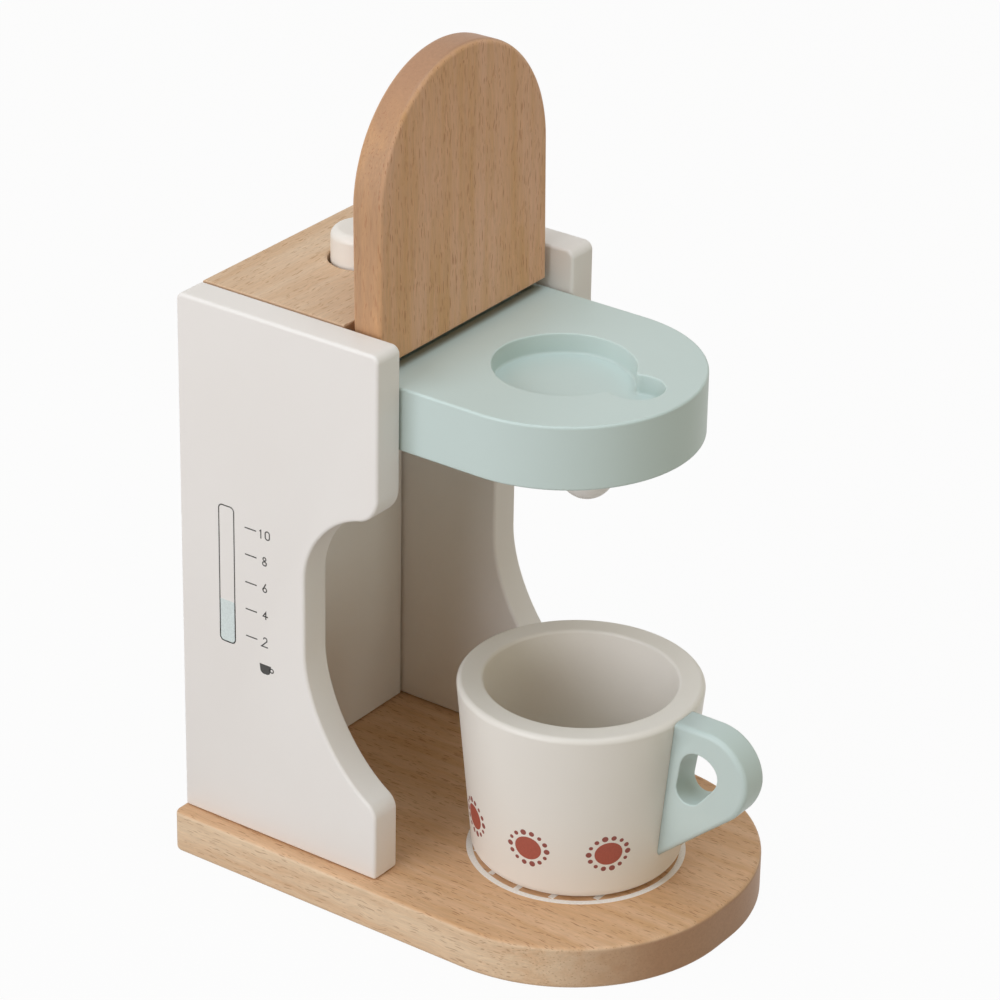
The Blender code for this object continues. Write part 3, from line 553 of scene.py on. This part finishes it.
low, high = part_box("brew_head")
pod_y = low.y + high.x
finger_y = pod_y - POD_RADIUS - FINGER_REACH
spread = LIP_ROUNDING + LEVEL_RING
pod_side = POD_RADIUS + CUSP_ROUNDING
finger_side = FINGER_RADIUS + CUSP_ROUNDING
between = pod_y - finger_y
pod_turn = math.degrees(math.acos((pod_side ** 2 + between ** 2 - finger_side ** 2)
                                  / (2 * pod_side * between)))
finger_turn = math.degrees(math.acos((finger_side ** 2 + between ** 2 - pod_side ** 2)
                                     / (2 * finger_side * between)))
cusp_x = pod_side * math.sin(math.radians(pod_turn))
cusp_y = pod_y - pod_side * math.cos(math.radians(pod_turn))
cusp_radius = CUSP_ROUNDING - spread
pocket_line = sweep(0, pod_y, POD_RADIUS + spread, pod_turn - 90, 270 - pod_turn, 4)
pocket_line += sweep(-cusp_x, cusp_y, cusp_radius, 90 - pod_turn, finger_turn - 90, 1)
pocket_line += sweep(0, finger_y, FINGER_RADIUS + spread, 90 + finger_turn, 450 - finger_turn, 3)
pocket_line += sweep(cusp_x, cusp_y, cusp_radius, 270 - finger_turn, 90 + pod_turn, 1)
wall = [(0, LEVEL_RING), (0, POD_DEPTH - LIP_ROUNDING - FLOOR_ROUNDING - 2 * LEVEL_RING)]
bm = board(high.z - low.z, HEAD_ROUNDING,
           [(low.x, high.y, 0), (high.x, high.y, 0),
            (high.x, low.y, high.x), (low.x, low.y, high.x)],
           pockets=[(pocket_line, eased(LIP_ROUNDING) + wall + sanded(FLOOR_ROUNDING)),
                    (rectangle(low.x + SLOT_END, high.x - SLOT_END, *SLOT), [(0, SLOT_DEPTH)])])
bmesh.ops.translate(bm, vec=(0, 0, (low.z + high.z) / 2), verts=bm.verts[:])
mint = paint("pale_mint_paint", coat="#CBDAD6", worn="#C7D6D2", roughness=0.42)
piece("mint_head", bm, "housing", "mint_paint", mint, "brew_head")


# ---------------------------------------------------------------------------------------------
# Spout. A white dowel end with a ball nose, glued into the underside of the brew head.
# ---------------------------------------------------------------------------------------------
TURNED_STEPS = 96


def turned(corners, y, steps=TURNED_STEPS):
    """A piece turned on a lathe from a profile of (radius, height, rounding) corners."""
    bm = bmesh.new()
    outline(bm, corners, closed=False)
    bmesh.ops.rotate(bm, cent=(0, 0, 0), matrix=Matrix.Rotation(math.radians(90), 3, "X"),
                     verts=bm.verts[:])
    bmesh.ops.spin(bm, geom=bm.verts[:] + bm.edges[:], cent=(0, 0, 0), axis=(0, 0, 1),
                   dvec=(0, 0, 0), angle=math.tau, steps=steps, use_merge=True,
                   use_duplicate=False)
    bmesh.ops.remove_doubles(bm, verts=bm.verts[:], dist=WELD)
    bmesh.ops.recalc_face_normals(bm, faces=bm.faces[:])
    bmesh.ops.translate(bm, vec=(0, y, 0), verts=bm.verts[:])
    return bm


SPOUT_RADIUS = 0.0090
SPOUT_NOSE = 0.1425        # how high its lowest point hangs

low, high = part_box("spout")
spout_y = (low.y + high.y) / 2
bm = turned([(0, SPOUT_NOSE, 0), (SPOUT_RADIUS, SPOUT_NOSE, SPOUT_RADIUS),
             (SPOUT_RADIUS, high.z, 0), (0, high.z, 0)], spout_y)
piece("ball_nose_spout", bm, "housing", "white_paint", off_white, "spout")


# ---------------------------------------------------------------------------------------------
# Lid. An arched flap of oiled beech, its grain running up, with softly sanded edges. It turns on
# two steel pins between the panels and stands open, leaning back a little.
# ---------------------------------------------------------------------------------------------
LID_ROUNDING = 0.0018
LID_REAR_ROUNDING = 0.0026
LID_WIDTH = 0.0872
LID_THICK = 0.0115
LID_LENGTH = 0.0853        # from the hinge axis to the top of the arch
LID_TAIL = 0.0071          # and to the lower end
LID_LEAN = 1.0             # degrees
LID_PLAY = 0.0004          # how far it stands to the left on its pins

hinge = next(joint for joint in frame["joints"] if joint["name"] == "lid_hinge")["pos_m"]
half = LID_WIDTH / 2
bm = board(LID_THICK, LID_ROUNDING, [(-half, -LID_TAIL, 0), (half, -LID_TAIL, 0),
                                     (half, LID_LENGTH, half), (-half, LID_LENGTH, half)],
           under=LID_REAR_ROUNDING)
put(bm, Matrix.Translation(Vector(hinge) - Vector((LID_PLAY, 0, 0)))
    @ Matrix.Rotation(math.radians(90 - LID_LEAN), 4, "X"))
# Its sawn tone, much darker than its faces, is partly painted shade on the lid's edges.
lid_beech = beech("oiled_beech_lid", grain=2, face=1, pale="#E0B392", tan="#D4A476",
                  sawn_tone_and_painted_light="#BA916E", end_grain_and_painted_shade="#B3896B", fleck="#94481F",
                  fleck_length=0.0058, fleck_width=0.00046, offset=40)
piece("arched_lid", bm, "lid", "beech", lid_beech, "lid")


# ---------------------------------------------------------------------------------------------
# Button. Turned from a dowel and sprayed creamy white, a little glossier than the panels. A flange
# under the top plate keeps it in, and a stub below centres its spring.
# ---------------------------------------------------------------------------------------------
BUTTON_RADIUS = 0.010
BUTTON_ROUNDING = 0.003
STUB_RADIUS = 0.0045
STUB_LENGTH = 0.003
FLANGE_THICK = 0.003

cream = paint("creamy_white_paint", coat="#EFEAE2", worn="#EAE5DD", roughness=0.36, peel=0.08)
low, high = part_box("button")
flange_low = low.z + STUB_LENGTH
flange_top = flange_low + FLANGE_THICK
bm = turned([(0, low.z, 0), (STUB_RADIUS, low.z, 0), (STUB_RADIUS, flange_low, 0),
             (high.x, flange_low, 0), (high.x, flange_top, 0), (BUTTON_RADIUS, flange_top, 0),
             (BUTTON_RADIUS, high.z, BUTTON_ROUNDING), (0, high.z, 0)], button_y)
piece("push_button", bm, "button", "white_paint", cream, "button")


# ---------------------------------------------------------------------------------------------
# Cup. A thick beaker turned from one block and sprayed creamy white, with a rolled rim, a slight
# taper and a rounded foot. It is loose, and stands on the printed grate.
# ---------------------------------------------------------------------------------------------
CUP_BASE_RADIUS = 0.034
CUP_TOP_RADIUS = 0.0399
CUP_MOUTH_RADIUS = 0.0312
CUP_FLOOR_RADIUS = 0.027
CUP_FLOOR = 0.010
CUP_RIM_ROUNDING = 0.0019
CUP_LIP_ROUNDING = 0.0012
CUP_FOOT_ROUNDING = 0.0045
CUP_FLOOR_ROUNDING = 0.004
CUP_STEPS = 128

cup_low, cup_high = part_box("cup_body")
cup_y = (cup_low.y + cup_high.y) / 2
foot, rim = cup_low.z, cup_high.z
bm = turned([(0, foot, 0), (CUP_BASE_RADIUS, foot, CUP_FOOT_ROUNDING),
             (CUP_TOP_RADIUS, rim, CUP_RIM_ROUNDING), (CUP_MOUTH_RADIUS, rim, CUP_LIP_ROUNDING),
             (CUP_FLOOR_RADIUS, foot + CUP_FLOOR, CUP_FLOOR_ROUNDING), (0, foot + CUP_FLOOR, 0)],
            cup_y, CUP_STEPS)
piece("turned_cup", bm, "cup", "white_paint", cream, "cup_body")


# ---------------------------------------------------------------------------------------------
# Handle. Sawn from an 11 mm board and sprayed mint, with a finger hole that narrows downwards.
# Its inner edge is coped to the taper of the cup and held by two hidden dowels.
# ---------------------------------------------------------------------------------------------
HANDLE_THICK = 0.011
HANDLE_ROUNDING = 0.0017
EYE_REACH = 0.0508         # from the cup's axis to the middle of the handle's round end
EYE_HEIGHT = 0.046
EYE_RADIUS = 0.0159
TIP_HEIGHT = 0.0115        # where the lower edge meets the cup
INNER_REACH = 0.029        # how far in the board goes before it is coped
FINGER_TOP = (0.0488, 0.0465, 0.0068)      # reach, height and radius of the hole's upper end
FINGER_LOW = (0.0457, 0.0394, 0.0048)      # and of its lower end
FINGER_ROUNDING = 0.0005   # the hole's rim
COPE_GAP = 0.00005
COPE_OVERRUN = 0.01        # the cutter goes on this far above and below the cup
COPE_STEPS = 256
FACING_LEFT = Matrix(((0, 0, -1, 0), (-1, 0, 0, 0), (0, 1, 0, 0), (0, 0, 0, 1)))   # X goes to -Y


def cup_side(height):
    """The cup's outer radius at a height above its foot."""
    return CUP_BASE_RADIUS + (CUP_TOP_RADIUS - CUP_BASE_RADIUS) * height / (rim - foot)


tip = Vector((cup_side(TIP_HEIGHT), TIP_HEIGHT))
way = Vector((EYE_REACH, EYE_HEIGHT)) - tip
slope = math.atan2(way.y, way.x) - math.asin(EYE_RADIUS / way.length)
outer = EYE_REACH + EYE_RADIUS
handle_top = EYE_HEIGHT + EYE_RADIUS
handle_line = [(INNER_REACH, handle_top, 0),
               (INNER_REACH, tip.y - (tip.x - INNER_REACH) * math.tan(slope), 0),
               (outer, tip.y + (outer - tip.x) * math.tan(slope), EYE_RADIUS),
               (outer, handle_top, EYE_RADIUS)]
upper, lower = Vector(FINGER_TOP[:2]), Vector(FINGER_LOW[:2])
axis = (upper - lower).normalized()
across = Vector((-axis.y, axis.x))
taper = math.asin((FINGER_TOP[2] - FINGER_LOW[2]) / (upper - lower).length)
big, small = [end[2] + FINGER_ROUNDING + LEVEL_RING for end in (FINGER_TOP, FINGER_LOW)]
wide = across * big * math.tan((math.pi / 2 + taper) / 2)
narrow = across * small * math.tan((math.pi / 2 - taper) / 2)
top_end, low_end = upper + axis * big, lower - axis * small
finger_line = [(*(top_end + wide), big), (*(top_end - wide), big), (*(low_end - narrow), small),
               (*(low_end + narrow), small)]
bore = eased(FINGER_ROUNDING) + [(0, HANDLE_THICK / 2 - FINGER_ROUNDING)]
bm = board(HANDLE_THICK, HANDLE_ROUNDING, handle_line, holes=[(finger_line, bore)])
put(bm, Matrix.Translation((0, cup_y, foot)) @ FACING_LEFT)
handle = piece("coped_handle", bm, "cup", "mint_paint", mint, "cup_handle")
bm = bmesh.new()
bmesh.ops.create_cone(bm, cap_ends=True, segments=COPE_STEPS,
                      radius1=cup_side(-COPE_OVERRUN) + COPE_GAP,
                      radius2=cup_side(rim - foot + COPE_OVERRUN) + COPE_GAP,
                      depth=rim - foot + 2 * COPE_OVERRUN,
                      matrix=Matrix.Translation((0, cup_y, (foot + rim) / 2)))
cutter_mesh = bpy.data.meshes.new("cope_cutter")
bm.to_mesh(cutter_mesh)
bm.free()
cutter = bpy.data.objects.new("cope_cutter", cutter_mesh)
bring_in(cutter)
cope = handle.modifiers.new("cope", "BOOLEAN")
cope.operation = "DIFFERENCE"
cope.solver = "EXACT"
cope.object = cutter
finished = handle.evaluated_get(bpy.context.evaluated_depsgraph_get())
coped = bpy.data.meshes.new_from_object(finished)
handle.modifiers.remove(cope)
handle.data = coped
coped.name = "coped_handle"
bpy.data.objects.remove(cutter)


# ---------------------------------------------------------------------------------------------
# Gauge print. Thin dark line work screen printed on the left panel: a level tube with a mint
# fill, five marks with their cup numbers, and a small cup below them.
# ---------------------------------------------------------------------------------------------
INK_HEIGHT = 0.00004       # how far a print stands off the surface, so that it shows
LINE_WIDTH = 0.00042
TUBE = (-0.07225, -0.06575, 0.08240, 0.13160)      # left, right, low and high on the panel
TUBE_CORNER = 0.0017
FILL_LEVEL = 0.0976
MARK = (-0.06155, -0.05695)        # the two ends of a mark
MARK_LEVELS = (0.12598, 0.11651, 0.10705, 0.09740, 0.08767)
NUMBERS = ("10", "8", "6", "4", "2")
NUMBER_DROP = 0.0001       # the numbers' middles, below their marks
NUMBER_PLACE = -0.05370    # the middle of a single digit
FIGURE_HEIGHT = 0.0033
FIGURE_WIDTH = 0.0021
TEN_STEP = 0.00125         # from the middle of the 10 to either digit
# Each figure is one or two lines of corners, in shares of its width and height
FIGURE_SHARES = {
    "1": [[(-0.35, 0.82, 0), (0.05, 1.0, 0), (0.05, 0.0, 0)]],
    "0": [[(-0.5, 0.0, 0.5), (0.5, 0.0, 0.5), (0.5, 1.0, 0.5), (-0.5, 1.0, 0.5)]],
    "8": [[(-0.36, 0.52, 0.36), (0.36, 0.52, 0.36), (0.36, 1.0, 0.36), (-0.36, 1.0, 0.36)],
          [(-0.45, 0.0, 0.4), (0.45, 0.0, 0.4), (0.45, 0.54, 0.4), (-0.45, 0.54, 0.4)]],
    "6": [[(-0.45, 0.0, 0.44), (0.45, 0.0, 0.44), (0.45, 0.58, 0.44), (-0.45, 0.58, 0.44)],
          [(-0.43, 0.34, 0), (0.12, 1.0, 0)]],
    "4": [[(0.55, 0.27, 0), (-0.55, 0.27, 0), (0.25, 1.0, 0), (0.25, 0.0, 0)]],
    "2": [[(-0.42, 0.72, 0), (-0.42, 1.0, 0.40), (0.42, 1.0, 0.42), (0.42, 0.56, 0.2),
           (-0.47, 0.0, 0), (0.5, 0.0, 0)]],
}
OPEN_LINES = {"1": (0,), "6": (1,), "4": (0,), "2": (0,)}      # the lines that don't close
SPECK_SCALE = 1600         # the screen leaves specks of about 0.6 mm
INK_COVER = (0.92, 1.05)
INK_ROUGHNESS = 0.55


def ink(name, pigment):
    """Screen-printing ink: a thin dull film with slightly uneven cover."""
    material, tree, shader = new_finish(name)
    place = add(tree, "TexCoord").outputs["Object"]
    specks = add(tree, "TexNoise", {"Vector": place, "Scale": SPECK_SCALE, "Detail": 2})
    cover = add(tree, "MapRange", {"Value": specks.outputs["Fac"], "From Min": MIDDLE[0],
                                   "From Max": MIDDLE[1], "To Min": INK_COVER[0],
                                   "To Max": INK_COVER[1]})
    shade = add(tree, "Mix", {0: 1.0, 6: colour(pigment), 7: cover.outputs[0]}, data_type="RGBA",
                blend_type="MULTIPLY")
    tree.links.new(shade.outputs[2], shader.inputs["Base Color"])
    shader.inputs["Roughness"].default_value = INK_ROUGHNESS
    return material


def print_lines(bm, width):
    """Gives wires the width and the height of a printed line."""
    ribbons = bmesh.ops.extrude_edge_only(bm, edges=bm.edges[:])["geom"]
    bmesh.ops.translate(bm, vec=(0, 0, INK_HEIGHT), verts=only(bmesh.types.BMVert, ribbons))
    bmesh.ops.recalc_face_normals(bm, faces=bm.faces[:])
    bmesh.ops.solidify(bm, geom=bm.faces[:], thickness=width)
    bmesh.ops.recalc_face_normals(bm, faces=bm.faces[:])


def print_patch(bm, faces):
    """Gives a flat patch the height of a print."""
    lifted = bmesh.ops.extrude_face_region(bm, geom=faces)["geom"]
    bmesh.ops.translate(bm, vec=(0, 0, INK_HEIGHT), verts=only(bmesh.types.BMVert, lifted))
    bmesh.ops.recalc_face_normals(bm, faces=bm.faces[:])


def onto_panel(name, bm, ink_used):
    """Lays a print on the left panel's outer face."""
    put(bm, Matrix.Translation((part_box("left_side_panel")[0].x, 0, 0)) @ FACING_LEFT)
    piece(name, bm, "housing", "white_paint", ink_used)


bm = bmesh.new()
left, right, low_end, high_end = TUBE
outline(bm, [(left, low_end, TUBE_CORNER), (right, low_end, TUBE_CORNER),
             (right, high_end, TUBE_CORNER), (left, high_end, TUBE_CORNER)])
for level, number in zip(MARK_LEVELS, NUMBERS):
    outline(bm, [(MARK[0], level, 0), (MARK[1], level, 0)], closed=False)
    for i, figure in enumerate(number):
        middle = NUMBER_PLACE + (0 if len(number) == 1 else (2 * i - 1) * TEN_STEP)
        for j, line in enumerate(FIGURE_SHARES[figure]):
            corners = [(middle + x * FIGURE_WIDTH, level - NUMBER_DROP + (y - 0.5) * FIGURE_HEIGHT,
                        r * FIGURE_WIDTH) for x, y, r in line]
            outline(bm, corners, closed=j not in OPEN_LINES.get(figure, ()))
print_lines(bm, LINE_WIDTH)
dark_ink = ink("dark_grey_ink", "#403E3B")
onto_panel("gauge_lines", bm, dark_ink)

bm = bmesh.new()
outline(bm, [(left, low_end, TUBE_CORNER), (right, low_end, TUBE_CORNER), (right, FILL_LEVEL, 0),
             (left, FILL_LEVEL, 0)])
print_patch(bm, bmesh.ops.contextual_create(bm, geom=bm.edges[:])["faces"])
onto_panel("gauge_fill", bm, ink("pale_mint_ink", "#DAE4E2"))

CUP_SIGN = (-0.0538, 0.0775)       # the middle of the small printed cup
SIGN_WIDTH = 0.0046
SIGN_HEIGHT = 0.0034
SIGN_SHARES = ((-0.5, 0.5, 0), (-0.4, -0.5, 0.32), (0.4, -0.5, 0.32), (0.5, 0.5, 0))
SIGN_LOOP = 0.00090        # the radius of its handle
LOOP_SHIFT = SIGN_LOOP / 3

bm = bmesh.new()
outline(bm, [(CUP_SIGN[0] + x * SIGN_WIDTH, CUP_SIGN[1] + y * SIGN_HEIGHT, r * SIGN_WIDTH)
             for x, y, r in SIGN_SHARES])
print_patch(bm, bmesh.ops.contextual_create(bm, geom=bm.edges[:])["faces"])
onto_panel("gauge_cup_sign", bm, dark_ink)
bm = bmesh.new()
outline(bm, disc(CUP_SIGN[0] + SIGN_WIDTH / 2 + LOOP_SHIFT, CUP_SIGN[1] + LOOP_SHIFT, SIGN_LOOP))
print_lines(bm, LINE_WIDTH)
onto_panel("gauge_cup_handle", bm, dark_ink)


# ---------------------------------------------------------------------------------------------
# Grate print. A white ring with straight bars, printed on the base where the cup stands.
# ---------------------------------------------------------------------------------------------
GRATE_Y = -0.0290
GRATE_RADIUS = 0.0357
GRATE_LINE = 0.0021        # the width of the ring
BAR_LINE = 0.0020
BAR_STEP = 0.0118          # from bar to bar
BAR_COUNT = 5

bm = bmesh.new()
outline(bm, disc(0, GRATE_Y, GRATE_RADIUS))
ring = bmesh.ops.contextual_create(bm, geom=bm.edges[:])["faces"]
draw_in(bm, ring, 1, [(GRATE_LINE, 0)])
bmesh.ops.delete(bm, geom=ring, context="FACES")
print_patch(bm, bm.faces[:])
inside = GRATE_RADIUS - GRATE_LINE
for i in range(BAR_COUNT):
    rise = (i - (BAR_COUNT - 1) / 2) * BAR_STEP
    reach = math.sqrt(inside ** 2 - (abs(rise) + BAR_LINE / 2) ** 2)
    known = set(bm.edges)
    outline(bm, rectangle(-reach, reach, GRATE_Y + rise - BAR_LINE / 2,
                          GRATE_Y + rise + BAR_LINE / 2))
    bar = [edge for edge in bm.edges if edge not in known]
    print_patch(bm, bmesh.ops.contextual_create(bm, geom=bar)["faces"])
bmesh.ops.translate(bm, vec=(0, 0, base_high.z), verts=bm.verts[:])
piece("grate_print", bm, "housing", "beech", ink("white_ink", "#F4EFE9"))


# ---------------------------------------------------------------------------------------------
# Cup print. Red-brown dabs round the foot of the cup, each a disc in a ring of fourteen dots, as
# a transfer that follows the taper.
# ---------------------------------------------------------------------------------------------
DAB_HEIGHT = 0.0181        # above the foot
DAB_ANGLES = (-129.2, -171.4, 147.3, 108.0, 72.0, 32.7, -8.6, -50.8)
DAB_RADIUS = (0.0046, 0.00425)     # across and up, as for the ring of dots
DAB_STEPS = 40
DAB_CUTS = 3               # across the disc, so that it bends with the cup
DOT_RING = (0.00645, 0.0059)
DOT_RADII = (0.00098, 0.00082, 0.00070, 0.00088, 0.00103, 0.00076, 0.00067)
DOT_COUNT = 14
DOT_STEPS = 14


def onto_cup(bm, angle):
    """Bends a flat print round the cup's side at an angle."""
    for v in bm.verts:
        height = DAB_HEIGHT + v.co.y
        reach = cup_side(height) + v.co.z
        turn = math.radians(angle) + v.co.x / cup_side(DAB_HEIGHT)
        v.co = (reach * math.cos(turn), cup_y + reach * math.sin(turn), foot + height)


def dab(bm, x, y, across, up, segments, cuts):
    """One printed spot."""
    known = set(bm.faces)
    place = Matrix.Translation((x, y, 0)) @ Matrix.Diagonal((across, up, 1, 1))
    bmesh.ops.create_circle(bm, cap_ends=True, cap_tris=True, segments=segments, radius=1,
                            matrix=place)
    spot = [face for face in bm.faces if face not in known]
    if cuts:
        bmesh.ops.subdivide_edges(bm, edges=once(spot, "edges"), cuts=cuts, use_grid_fill=True)
    print_patch(bm, [face for face in bm.faces if face not in known])


red_ink = ink("red_brown_ink", "#A85444")
dot_ink = ink("deep_red_brown_ink", "#924E46")
dot_ring = []
for i in range(DOT_COUNT):
    turn, size = math.tau * i / DOT_COUNT, DOT_RADII[i % len(DOT_RADII)]
    dot_ring.append((DOT_RING[0] * math.cos(turn), DOT_RING[1] * math.sin(turn), size, size,
                     DOT_STEPS, 0))
discs, dots = bmesh.new(), bmesh.new()
for angle in DAB_ANGLES:
    for target, spots in ((discs, [(0, 0, *DAB_RADIUS, DAB_STEPS, DAB_CUTS)]), (dots, dot_ring)):
        flat = bmesh.new()
        for spot in spots:
            dab(flat, *spot)
        onto_cup(flat, angle)
        mesh = bpy.data.meshes.new("transfer")
        flat.to_mesh(mesh)
        flat.free()
        target.from_mesh(mesh)
        bpy.data.meshes.remove(mesh)
piece("cup_discs", discs, "cup", "white_paint", red_ink)
piece("cup_dots", dots, "cup", "white_paint", dot_ink)


# ---------------------------------------------------------------------------------------------
# Studio. A seamless sweep of matt white paper under the toy, a large soft light from its left,
# weaker ones above and in front, and the rest from the room. The camera looks down on the left
# front corner.
# ---------------------------------------------------------------------------------------------
SWEEP_SIZE = 4
SWEEP_DROP = 0.0002        # how far below the base it lies
PAPER_ROUGHNESS = 0.9
PAPER_SEEN = 0.96          # the camera sees this much plain white, and the shadow in the rest
ROOM_LIGHT = 0.28


def backdrop_share(tree, camera_share):
    """How far a ray sees plain white: wholly in gloss and glass, and not at all as a light."""
    ray = add(tree, "LightPath")
    seen = add(tree, "Math", {0: ray.outputs["Is Camera Ray"], 1: camera_share},
               operation="MULTIPLY")
    for kind in ("Is Glossy Ray", "Is Transmission Ray"):
        seen = add(tree, "Math", {0: seen.outputs[0], 1: ray.outputs[kind]}, operation="MAXIMUM")
    return seen.outputs[0]


bm = bmesh.new()
bmesh.ops.create_grid(bm, x_segments=1, y_segments=1, size=SWEEP_SIZE,
                      matrix=Matrix.Translation((0, 0, -SWEEP_DROP)))
mesh = bpy.data.meshes.new("sweep")
bm.to_mesh(mesh)
bm.free()
sweep_floor = bpy.data.objects.new("sweep", mesh)
bring_in(sweep_floor)
paper, tree, shader = new_finish("white_paper_sweep")
shader.inputs["Base Color"].default_value = colour("#B4B2AF")
shader.inputs["Roughness"].default_value = PAPER_ROUGHNESS
glow = add(tree, "Emission", {"Color": (1, 1, 1, 1), "Strength": 1.0})
both = add(tree, "MixShader", {0: backdrop_share(tree, PAPER_SEEN), 1: shader.outputs[0],
                               2: glow.outputs[0]})
tree.links.new(both.outputs[0], tree.nodes["Material Output"].inputs["Surface"])
mesh.materials.append(paper)

room = bpy.data.worlds.new("room")
bpy.context.scene.world = room
room.use_nodes = True
tree = room.node_tree
back = tree.nodes["Background"]
shown = backdrop_share(tree, 1)
level = add(tree, "MapRange", {"Value": shown, "To Min": ROOM_LIGHT, "To Max": 1.0})
tint = add(tree, "Mix", {0: shown, 6: colour("#FFE1B0"), 7: colour("#FFFFFF")}, data_type="RGBA")
tree.links.new(tint.outputs[2], back.inputs["Color"])
tree.links.new(level.outputs[0], back.inputs["Strength"])

# Each lamp's place, size, watts and colour; all of them point at the middle of the toy
LAMPS = (("left_softbox", (-1.48, 0.30, 0.70), 1.1, 16.3, "#EFF5FF"),
         ("top_softbox", (-0.1, -0.15, 1.7), 1.2, 13.6, "#E1F1FF"),
         ("front_softbox", (0.3, -1.6, 0.35), 0.8, 3.1, "#F1FFFC"))
AIM = (0, 0, 0.12)
for name, spot, size, watts, tint in LAMPS:
    lamp = bpy.data.lights.new(name, "AREA")
    lamp.size = size
    lamp.energy = watts
    lamp.color = colour(tint)[:3]
    holder = bpy.data.objects.new(name, lamp)
    bring_in(holder)
    aim = (Vector(AIM) - Vector(spot)).to_track_quat("-Z", "Y")
    holder.matrix_world = Matrix.Translation(spot) @ aim.to_matrix().to_4x4()

CAMERA_PLACE = (-0.96398, -0.68085, 0.73331)
CAMERA_HEADING = 54.617    # from straight ahead along Y, towards +X
CAMERA_DIP = 27.003
CAMERA_ROLL = 1.059
CAMERA_LENS = 150.855      # millimetres, as the sensor's width
CAMERA_SENSOR = 36
camera = bpy.data.objects.new("camera", bpy.data.cameras.new("camera"))
bring_in(camera)
camera.data.sensor_width = CAMERA_SENSOR
camera.data.lens = CAMERA_LENS
camera.matrix_world = (Matrix.Translation(CAMERA_PLACE)
                       @ Matrix.Rotation(math.radians(-CAMERA_HEADING), 4, "Z")
                       @ Matrix.Rotation(math.radians(90 - CAMERA_DIP), 4, "X")
                       @ Matrix.Rotation(math.radians(CAMERA_ROLL), 4, "Z"))
bpy.context.scene.camera = camera
bpy.context.scene.view_settings.view_transform = "Standard"
